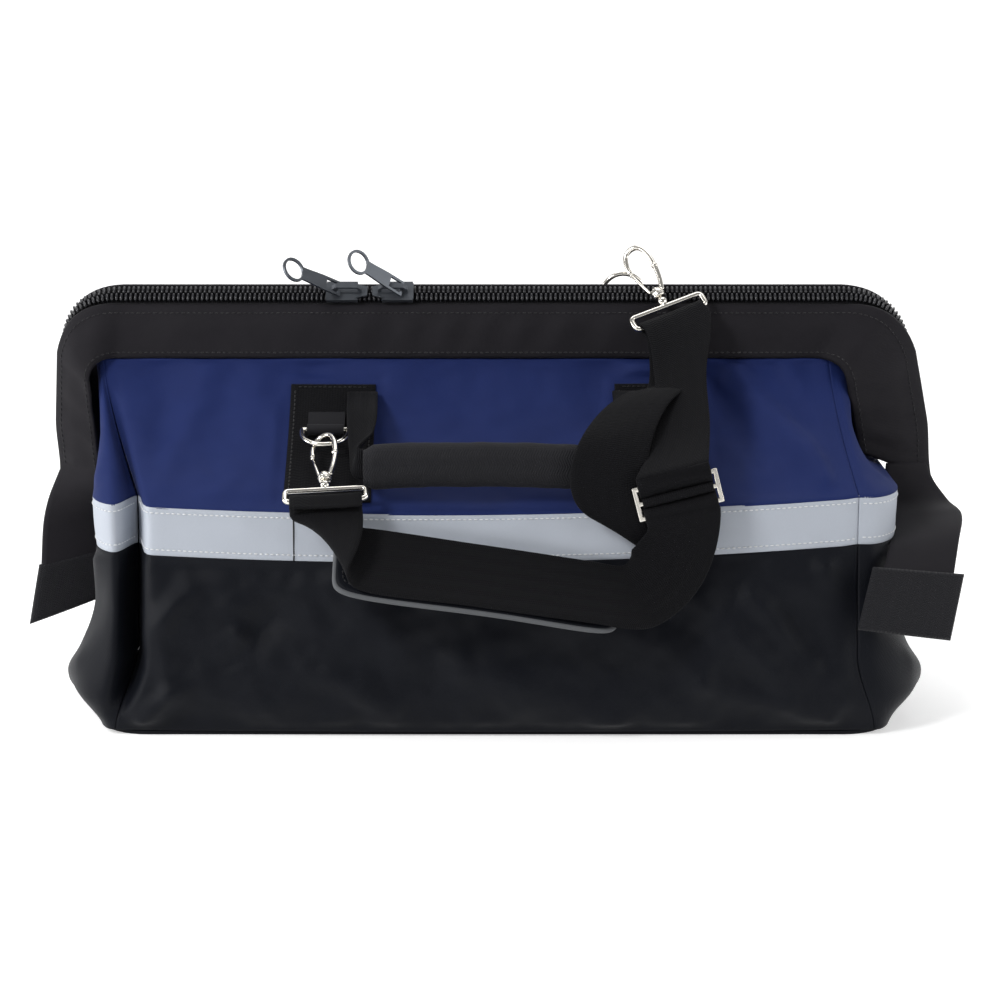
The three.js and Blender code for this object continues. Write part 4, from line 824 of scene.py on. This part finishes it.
# The zip: tapes, and one rounded tooth after another along the mouth
zipSize = dict(tapeHalf=5.6, tapeThick=0.8, drop=0.5, pitch=2.9, height=1.5)
chain = mouthLine(mouth["corner"], (mouth["zipEnd"], mouth["zipEnd"]), legSteps=30, cornerSteps=24, topSteps=200)
chainAt, chainWide, chainFace = (np.array([p[key] for p in chain]) for key in ("at", "wide", "face"))
chainLength = runLengths(chainAt)
toothProfile = [(0.12, 0), (0.16, 0.62), (0.4, 0.92), (1.5, 1.0), (3.9, 0.92), (4.7, 0.66), (5.0, 0)]
tooth, toothFaces = turned(toothProfile, 10, 1.02, 1.45)
for name, side in sides:
    across = np.linspace(0.3, zipSize["tapeHalf"], 5)
    tape = np.array([[place(p, side * w, -zipSize["drop"]) for p in chain] for w in across])
    middle = len(chain) // 2
    facing = np.sign(np.dot(normalsOf(tape)[2, middle], chain[middle]["face"]))
    made = clothSheet(f"{name}ZipTape", tape, facing * zipSize["tapeThick"], webbingCloth, f"{name}_jaw", rim=0.2)
    settle(made, f"{name}_zip_tape")
    places = []
    offset = 0 if side < 0 else zipSize["pitch"] / 2
    for d in np.arange(2 + offset, chainLength[-1] - 2, zipSize["pitch"]):
        x = unit(onLine(d, chainLength, chainWide)) * side
        face = unit(onLine(d, chainLength, chainFace))
        at = onLine(d, chainLength, chainAt) + face * zipSize["height"]
        places.append(dict(at=at, x=x, y=unit(np.cross(face, x)), z=face))
    coil = scatter(f"{name}ZipCoil", tooth, toothFaces, places, coilPlastic)
    settle(coil, f"{name}_zip_coil", f"{name}_jaw")
print("zip made")


def camel(name):
    first, *rest = name.split("_")
    return first + "".join(part.title() for part in rest)


# Hard pieces keep their solid's form, with softened edges
def dress(node, material, bodyName, width, segments=3, limit=28):
    form = bmesh.new()
    form.from_mesh(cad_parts[node].data)
    bmesh.ops.remove_doubles(form, verts=form.verts, dist=2e-6)
    bmesh.ops.dissolve_limit(form, angle_limit=math.radians(1.5), verts=form.verts, edges=form.edges)
    sharp = [e for e in form.edges if len(e.link_faces) == 2 and e.calc_face_angle(0) > math.radians(limit)]
    if sharp:
        bmesh.ops.bevel(form, geom=sharp, offset=width * 0.001, segments=segments, affect="EDGES", profile=0.6,
                        clamp_overlap=True)
    bmesh.ops.recalc_face_normals(form, faces=form.faces)
    mesh = bpy.data.meshes.new(camel(node) + "Form")
    form.to_mesh(mesh)
    form.free()
    mesh.polygons.foreach_set("use_smooth", [True] * len(mesh.polygons))
    made = addObject(camel(node) + "Dressed", mesh, material)
    made.modifiers.new("evenNormals", "WEIGHTED_NORMAL").keep_sharp = True
    settle(made, node, bodyName)


for name, side in ends:
    dress(f"{name}_zip_slider", gunmetal, f"{name}_slider", 0.35)
    dress(f"{name}_zip_pull", gunmetal, f"{name}_pull", 0.3)
    dress(f"{name}_pivot_rivet", nickel, "bag", 0.4)
for name, side in sides:
    dress(f"{name}_frame_strip", stripSteel, f"{name}_jaw", 0.25, 2)
dress("base_panel", blackCloth, "bag", 1.0)
dress("base_board", boardPlastic, "bag", 0.6, 2)
dress("strap_adjuster", nickel, "adjuster", 0.5)
print("hard pieces made")


# Webbing along a line: a flat strip with rounded edges. Each stop is its place, the way its width
# points and how far it spreads
def webbingStrip(name, stops, width, material, bodyName=None, thick=1.6, steps=10, across=10, crown=0, ruffle=0):
    line = through([list(at) + list(unit(wide)) + [spread] for at, wide, spread in stops], steps)
    at, wide, spread = line[:, :3], line[:, 3:6], line[:, 6]
    wide = units(wide)
    normal = units(np.cross(np.gradient(at, axis=0), wide))
    rows = []
    for k in np.linspace(-0.5, 0.5, across + 1):
        bow = crown * (1 - (2 * k) ** 2) + ruffle * np.sin(np.arange(len(at)) * 0.35 + 3 * k)
        rows.append(at + wide * (k * width * spread)[:, None] + normal * bow[:, None])
    return clothSheet(name, np.array(rows), thick, material, bodyName, rim=0.45)


def onPanel(x, v, lift, side):
    s = x / body["seamX"]
    at = upperFace(np.array(s), np.array(v), side)
    slope = upperFace(np.array(s), np.array(v + 0.01), side) - upperFace(np.array(s), np.array(v - 0.01), side)
    out = unit([0, side * slope[2], -side * slope[1]])
    return np.array([x, at[1], at[2]]) + out * lift


# Anchor patches, sewn down along three edges
for name, side, hand in (("front_left", -1, -1), ("front_right", -1, 1), ("rear_left", 1, -1), ("rear_right", 1, 1)):
    columns = [hand * anchor["x"] + k * anchor["width"] / 2 for k in np.linspace(-1, 1, 24)]
    grid = np.array([[onPanel(x, v, anchor["lift"], side) for x in columns]
                     for v in np.linspace(anchor["low"], anchor["high"], 40)])
    label = camel(name)
    made = clothSheet(f"{label}Anchor", grid.transpose(1, 0, 2), side * anchor["thick"], webbingCloth, "bag", rim=0.4)
    settle(made, f"{name}_anchor")
    outward = -side * normalsOf(grid)
    inside = slice(1, -1)
    for part, where in (("Left", (inside, 1)), ("Right", (inside, -2)), ("Top", (-2, inside))):
        stitchRow(f"{label}Thread{part}", grid[where], outward[where], anchor["pitch"], darkThread, "bag")
print("anchors made")

# Carry handles: webbing from anchor to anchor with a padded wrap round the middle
handle = dict(
    rootX=-80, rootV=0.74, lift=3.8, width=17, length=130, middle=-11, height=161, y=104, tall=26, deep=16, sag=1.5,
    square=2.6, around=66, rings=70, sides=40, pitch=3.2,
)


def handleStops(side):
    mirror = -side
    half = handle["length"] / 2
    height, y = handle["height"], handle["y"]

    def stop(x, y0, z, wx, wy, wz):
        return [mirror * x, side * y0, z], [mirror * wx, side * wy, wz], 1.0

    # One side of the handle, from its patch to the grip
    def arm(foot, end, hand):
        return [
            (onPanel(mirror * foot, handle["rootV"], handle["lift"], side), [mirror * hand, 0, 0], 1.0),
            stop(foot + hand, 62, height + 24, hand, 0, 0.1),
            stop(mix(foot, end, 0.35), 86, height + 11, 0.75 * hand, -0.25 * hand, 0.6),
            stop(end - 5 * hand, y - 2, height + 1, 0.1 * hand, 0, 1),
            stop(end + 3 * hand, y, height, 0, 0, 1),
            stop(end + 15 * hand, y, height, 0, 0, 1),
        ]

    left = arm(handle["rootX"], handle["middle"] - half, 1)
    right = arm(-handle["rootX"], handle["middle"] + half, -1)
    return left + [stop(handle["middle"], y, height, 0, 0, 1)] + right[::-1]


def gripGrid(side):
    rings = []
    for along in np.linspace(-0.5, 0.5, handle["rings"]):
        scale = 0.8 + 0.2 * float(ease(np.array(1 - abs(2 * along)), 0, 0.1))
        sag = -handle["sag"] * (2 * along) ** 2
        section = []
        for angle in np.linspace(0, 2 * math.pi, handle["sides"], endpoint=False):
            c, s = roundedSquare(angle, handle["square"])
            section.append([
                -side * handle["middle"] + along * handle["length"],
                side * (handle["y"] - 0.8) + handle["deep"] / 2 * scale * c,
                handle["height"] + sag + handle["tall"] / 2 * scale * s,
            ])
        rings.append(section)
    return np.array(rings)


for name, side in sides:
    made = webbingStrip(f"{name}HandleWebbing", handleStops(side), handle["width"], webbingCloth, f"{name}_handle")
    settle(made, f"{name}_handle_webbing")
    grid = gripGrid(side)
    centre = grid.mean(axis=1, keepdims=True)
    grid = centre + (grid - centre) * (1 + unevenness(grid, 22, 0.5, 31.0 * side) / 10)[..., None]
    uvs = [[along * handle["length"], k / handle["sides"] * handle["around"]]
           for along in np.linspace(-0.5, 0.5, handle["rings"]) for k in range(handle["sides"])]
    faces = ringFaces(handle["rings"], handle["sides"])
    made = makeObject(f"{name}HandleGrip", grid.reshape(-1, 3), faces, twillCloth, uvs)
    settle(made, f"{name}_handle_grip", f"{name}_handle")
    seam = grid[2:-2, 2]
    away = [0, 0, 1.0] + seam - centre[2:-2, 0]
    stitchRow(f"{name}GripThread", seam, away, handle["pitch"], darkThread, f"{name}_handle")
print("handles made")

# Rings and their tabs
ring = dict(frontBar=(-101, -58.67, 172.76), rearBar=(79, 8.6, 239), wire=1.5, half=14, drop=19)
hangs = dict(front=unit([0, -0.96, -0.28]), rear=unit([0, -0.156, 0.988]))
for name in ("front", "rear"):
    bar = np.array(ring[f"{name}Bar"], float)
    hang = hangs[name]
    bow = [bar + np.array([math.cos(a) * ring["half"], 0, 0]) + hang * math.sin(a) ** 0.8 * ring["drop"]
           for a in np.linspace(0, math.pi, 60)]
    loop = bow + [bar + np.array([x, 0, 0]) for x in np.linspace(-ring["half"] * 0.9, ring["half"] * 0.9, 14)]
    points, faces = wireMesh(loop, ring["wire"], 18, closed=True)
    settle(makeObject(f"{name}DRing", points, faces, nickel), f"{name}_d_ring", f"{name}_ring")
    dress(f"{name}_ring_tab", twillCloth, "bag" if name == "front" else "rear_jaw", 0.5)
print("rings made")

# Swivel snap hooks: a bent wire hook with a sprung gate, a collar, and the strap's eye
hook = dict(
    wire=1.5, bow=7.4, nose=7, collar=27, collarLength=5.5, collarRadius=3.8, beadRadius=2.1, gateWire=0.9,
    gateTip=1.25, ball=3, neck=1.9, pin=1.2, eyeWire=1.6, eyeHalf=23.5, eyeDrop=9, eyeCorner=2.6,
)
hooks = dict(
    front=dict(at=(-101, -76.9, 167.39), down=unit([0.08, -0.87, -0.49]), roll=30),
    upper=dict(at=(86, -1, 267.6), down=unit([0.42, -0.64, -0.64]), roll=32),
)
eyes = {}
for name, facts in hooks.items():
    origin, down = np.array(facts["at"], float), facts["down"]
    barWay = unit(np.array([1.0, 0, 0]) - down * down[0])
    wide = np.array(Matrix.Rotation(math.radians(facts["roll"]), 3, Vector(down)) @ Vector(barWay))

    def at(w, d):
        return origin + wide * w + down * d

    bow, top, radius = hook["bow"], hook["collar"], hook["collarRadius"]
    low = top + hook["collarLength"]
    bowLine = through([at(w, d) for w, d in (
        (3.6, top + 2), (6.2, top - 6), (bow + 0.4, top * 0.4), (bow, 1), (bow * 0.62, -bow * 0.76), (0, -bow),
        (-bow * 0.62, -bow * 0.76), (-bow, 1), (-bow - 0.4, hook["nose"]))], 10)
    thickness = np.interp(np.linspace(0, 1, len(bowLine)), [0, 0.3, 0.6, 0.97, 1], [1.5, 1.6, 1.8, 1.5, 1.1])
    points, faces = joined([
        wireMesh(bowLine, thickness, 16),
        rod(at(0, top), at(0, low), radius, 28, 0.8),
        rod(at(0, top + 1.6), at(0, low - 1.6), radius + 0.35, 28, 0.4),
        rod(at(0, top + 2), at(3.6, top + 2), hook["wire"], 14),
        ball(at(bow + 0.2, 12), hook["beadRadius"], 8, 12),
    ])
    settle(makeObject(f"{name}SnapHook", points, faces, nickel), f"{name}_snap_hook", f"{name}_hook")
    gateTip = at(-bow - 0.4, hook["nose"] + 0.9)
    points, faces = joined([rod(at(-radius, top - 0.9), gateTip, hook["gateWire"], 14),
                            ball(gateTip, hook["gateTip"], 8, 12)])
    settle(makeObject(f"{name}HookGate", points, faces, nickel), f"{name}_hook_gate", f"{name}_gate")
    ballAt = low + 0.3 + hook["ball"]
    high = ballAt + hook["ball"] + hook["eyeWire"] * 0.5
    deep = high + hook["eyeDrop"]
    bend = hook["eyeCorner"]
    corners = []
    for way, d, first in ((1, high + bend, -90), (1, deep - bend, 0), (-1, deep - bend, 90), (-1, high + bend, 180)):
        for a in np.radians(np.linspace(first, first + 90, 7)):
            across = way * (hook["eyeHalf"] - bend) + bend * math.cos(a)
            corners.append(origin + down * (d + bend * math.sin(a)) + barWay * across)
    points, faces = joined([
        wireMesh(corners, hook["eyeWire"], 14, closed=True),
        rod(at(0, top - 1.6), at(0, top - 0.3), hook["neck"], 16),
        rod(at(0, top - 0.8), at(0, ballAt), hook["pin"], 14),
        ball(at(0, ballAt), hook["ball"], 14, 22),
        rod(at(0, ballAt), at(0, high), hook["neck"], 16),
    ])
    settle(makeObject(f"{name}HookEye", points, faces, nickel), f"{name}_hook_eye", f"{name}_eye")
    eyes[name] = dict(bar=at(0, deep), way=barWay, down=down)
print("hooks made")

# Shoulder pad: cloth over foam, with a rolled edge of grey cloth and a row of stitches inside it
pad = dict(
    centre=(-11, -131, 99), length=162, width=46, thick=5, along=(159, 0, -24), wide=(0, -0.78, -0.63), edge=1.7,
    square=9, seamIn=4.5, pitch=3.2, points=160,
)
padAlong, padWide = unit(pad["along"]), unit(pad["wide"])
padFace = unit(np.cross(padWide, padAlong))
padCentre = np.array(pad["centre"], float)


def padOutline(inset, count=pad["points"]):
    halfL, halfW = pad["length"] / 2 - inset, pad["width"] / 2 - inset
    turns = [roundedSquare(angle, pad["square"]) for angle in np.linspace(0, 2 * math.pi, count, endpoint=False)]
    return [(halfL * c, halfW * s) for c, s in turns]


def onPad(a, w, n):
    wave = 0.7 * math.sin(a * 0.045 + 1) * (1 - 0.3 * math.cos(w * 0.1))
    return padCentre + padAlong * a + padWide * w + padFace * (n + wave)


# Each layer of the pad: its place in the thickness, from -0.5 to 0.5, and how far its edge stands in
padLayers = [(-0.5, 22), (-0.5, 8), (-0.49, 2.2), (-0.4, 0.7), (-0.2, 0)]
padLayers += [(-level, inset) for level, inset in padLayers[::-1]]
points = [onPad(a, w, level * pad["thick"]) for level, inset in padLayers for a, w in padOutline(inset)]
uvs = [[a, w] for level, inset in padLayers for a, w in padOutline(inset)]
made = makeObject("shoulderPad", points, ringFaces(len(padLayers), pad["points"]), blackCloth, uvs)
settle(made, "shoulder_pad", "pad")
rim = np.array([onPad(a, w, 0) for a, w in padOutline(0.2, 240)])
points, faces = wireMesh(rim, pad["edge"], 12, closed=True)
settle(makeObject("shoulderPadEdge", points, faces, padEdge), bodyName="pad")
rim = np.array([onPad(a, w, pad["thick"] / 2) for a, w in padOutline(pad["seamIn"], 300)])
stitchRow("padThread", rim, np.array([padFace] * len(rim)), pad["pitch"], darkThread, "pad")
print("shoulder pad made")

# Shoulder strap: sewn round the front hook's eye, over the pad, up through the adjuster, round
# the upper hook's eye and back down in a fold that hangs to the left
strap = dict(
    width=43, webbing=1.6, gap=0.3, glide=(105, -121, 147), glideWide=(0.97, 0, 0.25), glideOut=(0, -1, 0.1),
    glideThick=2, glideBar=2.6, glideWindow=6, tuck=1.8, beyond=4, sleeveTall=2.1, sleeveDeep=1.8, sleeveSquare=3,
    sleeveThick=0.6,
)


def padLay(along):
    return padCentre + padAlong * along * pad["length"] + padFace * (pad["thick"] / 2 + strap["gap"] + strap["webbing"])


def roundBar(eye, spread, flip=1):
    face = np.cross(eye["way"], eye["down"]) * flip
    far = hook["eyeWire"] + 2 * strap["gap"]
    return [(eye["bar"] + face * n * far + eye["down"] * d, eye["way"], spread)
            for n, d in ((-1, 9), (-1, 0), (0, -far), (1, 0), (1, 9))]


glideWide = unit(strap["glideWide"])
glideOut = unit(strap["glideOut"])
glideOut = unit(glideOut - glideWide * np.dot(glideWide, glideOut))
glideUp = np.cross(glideOut, glideWide)
glideCentre = np.array(strap["glide"], float)
offFace = strap["glideThick"] / 2 + strap["gap"]
under, over = -offFace - strap["webbing"] - 0.5, offFace + 0.5
nearBar = strap["glideBar"] / 2 + strap["glideWindow"] - 0.3
farBar = strap["glideBar"] * 1.5 + strap["glideWindow"] + 0.3


def onGlide(up, out):
    return glideCentre + glideUp * up + glideOut * out


beyond, tuck = farBar + strap["beyond"], strap["tuck"]
lowerRun = roundBar(eyes["front"], 0.94) + [
    ((-92, -136, 118), (0.4, -0.78, -0.35), 0.95),
    (padLay(-0.42), padWide, 1), (padLay(0), padWide, 1), (padLay(0.42), padWide, 1), (padLay(0.53), padWide, 1),
    ((86, -128, 92), (0.3, -0.5, -0.8), 1), ((101, -123, 108), (0.9, -0.1, -0.4), 1),
] + [(onGlide(up, out), glideWide, 0.97) for up, out in (
    (-beyond, over), (-farBar, over), (-nearBar, over), (-tuck, under), (tuck, under), (nearBar, over), (farBar, over),
    (beyond, over))]
upperRun = [
    (onGlide(beyond - 0.1, over), glideWide, 0.97), ((109, -92, 178), glideWide, 0.75),
    ((110, -62, 205), glideWide, 0.7),
] + roundBar(eyes["upper"], 0.94, -1)[::-1] + [
    ((107, -52, 202), glideWide, 0.75), ((96, -67, 199), (1, 0.1, 0.1), 0.85), ((81, -86, 191), (1, 0.2, 0.1), 0.95),
    ((70, -106, 176), (1, 0.25, 0), 1), ((65, -117, 155), (1, 0.1, -0.1), 1), ((70, -118, 130), (1, 0, -0.35), 1),
    ((84, -115, 114), (0.8, 0, -0.6), 0.9), ((98, -113, 108), (0.7, 0, -0.7), 0.7),
]
lower = webbingStrip("shoulderStrapLower", lowerRun, strap["width"], webbingCloth, "bag", across=14, crown=0.6,
                     ruffle=0.25)
settle(lower, "shoulder_strap")
upper = webbingStrip("shoulderStrapUpper", upperRun, strap["width"], webbingCloth, across=14, crown=0.3, ruffle=0.15)
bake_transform(upper)
sleeve = []
for angle in np.linspace(0, 2 * math.pi, 24, endpoint=False):
    c, s = roundedSquare(angle, strap["sleeveSquare"])
    sleeve.append([onGlide(strap["sleeveTall"] * s, strap["sleeveDeep"] * c) + glideWide * w
                   for w in np.linspace(-0.48, 0.48, 20) * strap["width"]])
sleeve = np.array(sleeve + sleeve[:1])
clothSheet("adjusterSleeve", sleeve, -strap["sleeveThick"], webbingCloth, "adjuster")
print("shoulder strap made")

# Tails: the collars' cloth runs on past the pivots as flaps, each with a folded webbing tab
tail = dict(width=42, thick=2.2, tabWidth=dict(left=44, right=54), tabThick=3.5, x=270)
x = tail["x"]
tails = dict(
    right=([((x - 16, -15.5, 143), (0.94, 0.33, 0), 0.62), ((x - 14, -17.5, 132), (0.97, 0.2, 0), 0.74),
            ((x - 11, -25, 123), (1, 0, 0), 0.9), ((x - 10, -55, 119.5), (1, 0.05, 0.1), 0.98),
            ((x - 18, -95, 112), (1, 0.2, 0.05), 1), ((x - 24, -115, 98), (1, 0.2, -0.12), 1)],
           [((x - 24.0, -116.6, 99.5), (1, 0.2, -0.13), 1), ((x - 32, -125, 66), (1, 0.15, -0.16), 1)]),
    left=([((15 - x, -18.5, 143), (0.89, -0.46, 0), 0.68), ((13 - x, -17, 131), (0.95, -0.3, 0), 0.78),
           ((10 - x, -10, 116), (1, 0, 0.05), 0.88), ((8 - x, -5, 102), (0.97, 0.2, 0.1), 0.95),
           ((7 - x, -6, 79), (0.95, 0.25, 0.16), 1)],
          [((7 - x, -6.6, 80.5), (0.95, 0.25, 0.2), 1), ((-x, -10, 48), (0.93, 0.25, 0.3), 1)]),
)
for name, (stops, tabStops) in tails.items():
    made = webbingStrip(f"{name}Tail", stops, tail["width"], collarCloth, thick=tail["thick"], steps=14, across=14,
                        crown=0.8)
    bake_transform(made)
    settle(made, f"{name}_tail")
    made = webbingStrip(f"{name}TailTab", tabStops, tail["tabWidth"][name], twillCloth, "bag", thick=tail["tabThick"],
                        steps=16, across=12, crown=0.8)
    settle(made, f"{name}_tail_tab")
print("tails made")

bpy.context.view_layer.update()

# Stage: a pale floor that curves up into a backdrop
stage = dict(half=6.0, near=-5.0, back=2.6, radius=1.6, wall=4.5, colour=(0.93, 0.93, 0.93), lift=0.45, world=0.3)
profile = [(stage["near"], 0.0), (stage["back"] - stage["radius"], 0.0)]
for k in range(1, 25):
    a = k / 24 * math.pi / 2
    bendY = stage["back"] - stage["radius"] + math.sin(a) * stage["radius"]
    profile.append((bendY, stage["radius"] * (1 - math.cos(a))))
profile.append((stage["back"], stage["wall"]))
points = [(x, y, z) for x in (-stage["half"], stage["half"]) for y, z in profile]
count = len(profile)
mesh = bpy.data.meshes.new("floor")
mesh.from_pydata(points, [], [(i, i + count, i + count + 1, i + 1) for i in range(count - 1)])
mesh.polygons.foreach_set("use_smooth", [True] * len(mesh.polygons))
floorPaper, tree, shader = newMaterial("floorPaper")
shader.inputs["Base Color"].default_value = (*stage["colour"], 1)
shader.inputs["Emission Color"].default_value = (1, 1, 1, 1)
path = tree.nodes.new("ShaderNodeLightPath")
seen = mathNode(tree, "ADD", path.outputs["Is Camera Ray"], path.outputs["Is Glossy Ray"])
seen = mathNode(tree, "MAXIMUM", seen, path.outputs["Is Transmission Ray"])
tree.links.new(mathNode(tree, "MULTIPLY", seen, stage["lift"]), shader.inputs["Emission Strength"])
shader.inputs["Roughness"].default_value = 0.9
shader.inputs["Specular IOR Level"].default_value = 0.1
addObject("floor", mesh, floorPaper)

world = bpy.data.worlds.new("studio")
world.use_nodes = True
background = world.node_tree.nodes["Background"]
background.inputs["Color"].default_value = (1, 1, 1, 1)
background.inputs["Strength"].default_value = stage["world"]
bpy.context.scene.world = world


# Soft boxes: where each stands, what it looks at, its size and its power
def softBox(name, at, target, size, power):
    lamp = bpy.data.lights.new(name, "AREA")
    lamp.shape = "RECTANGLE"
    lamp.size, lamp.size_y = size
    lamp.energy = power
    made = addObject(name, lamp)
    made.location = at
    made.rotation_euler = (Vector(target) - Vector(at)).to_track_quat("-Z", "Y").to_euler()


softBox("keyLight", (-1.4, -1.3, 1.55), (0, 0, 0.12), (0.6, 0.6), 29)
softBox("fillLight", (1.9, -1.3, 0.9), (0, 0, 0.12), (0.8, 1.4), 7)
softBox("leftLight", (-1.9, -0.2, 0.45), (-0.2, 0, 0.1), (0.7, 0.8), 14)
softBox("rightLight", (1.9, -0.2, 0.6), (0.2, 0, 0.1), (0.7, 1.1), 8)
softBox("topLight", (0.1, 0.5, 2.1), (0, 0, 0.1), (1.8, 1.2), 17)

camera = dict(rise=13, distance=1.4, target=(0.003, -0.06, 0.13), lens=84, sensor=36)
lens = bpy.data.cameras.new("photoCamera")
lens.lens, lens.sensor_width, lens.sensor_fit = camera["lens"], camera["sensor"], "HORIZONTAL"
lens.clip_start = 0.05
view = addObject("photoCamera", lens)
rise = math.radians(camera["rise"])
view.location = Vector(camera["target"]) + Vector((0, -math.cos(rise), math.sin(rise))) * camera["distance"]
view.rotation_euler = (Vector(camera["target"]) - view.location).to_track_quat("-Z", "Y").to_euler()
bpy.context.scene.camera = view
bpy.context.scene.view_settings.view_transform = "Standard"
print("stage made")
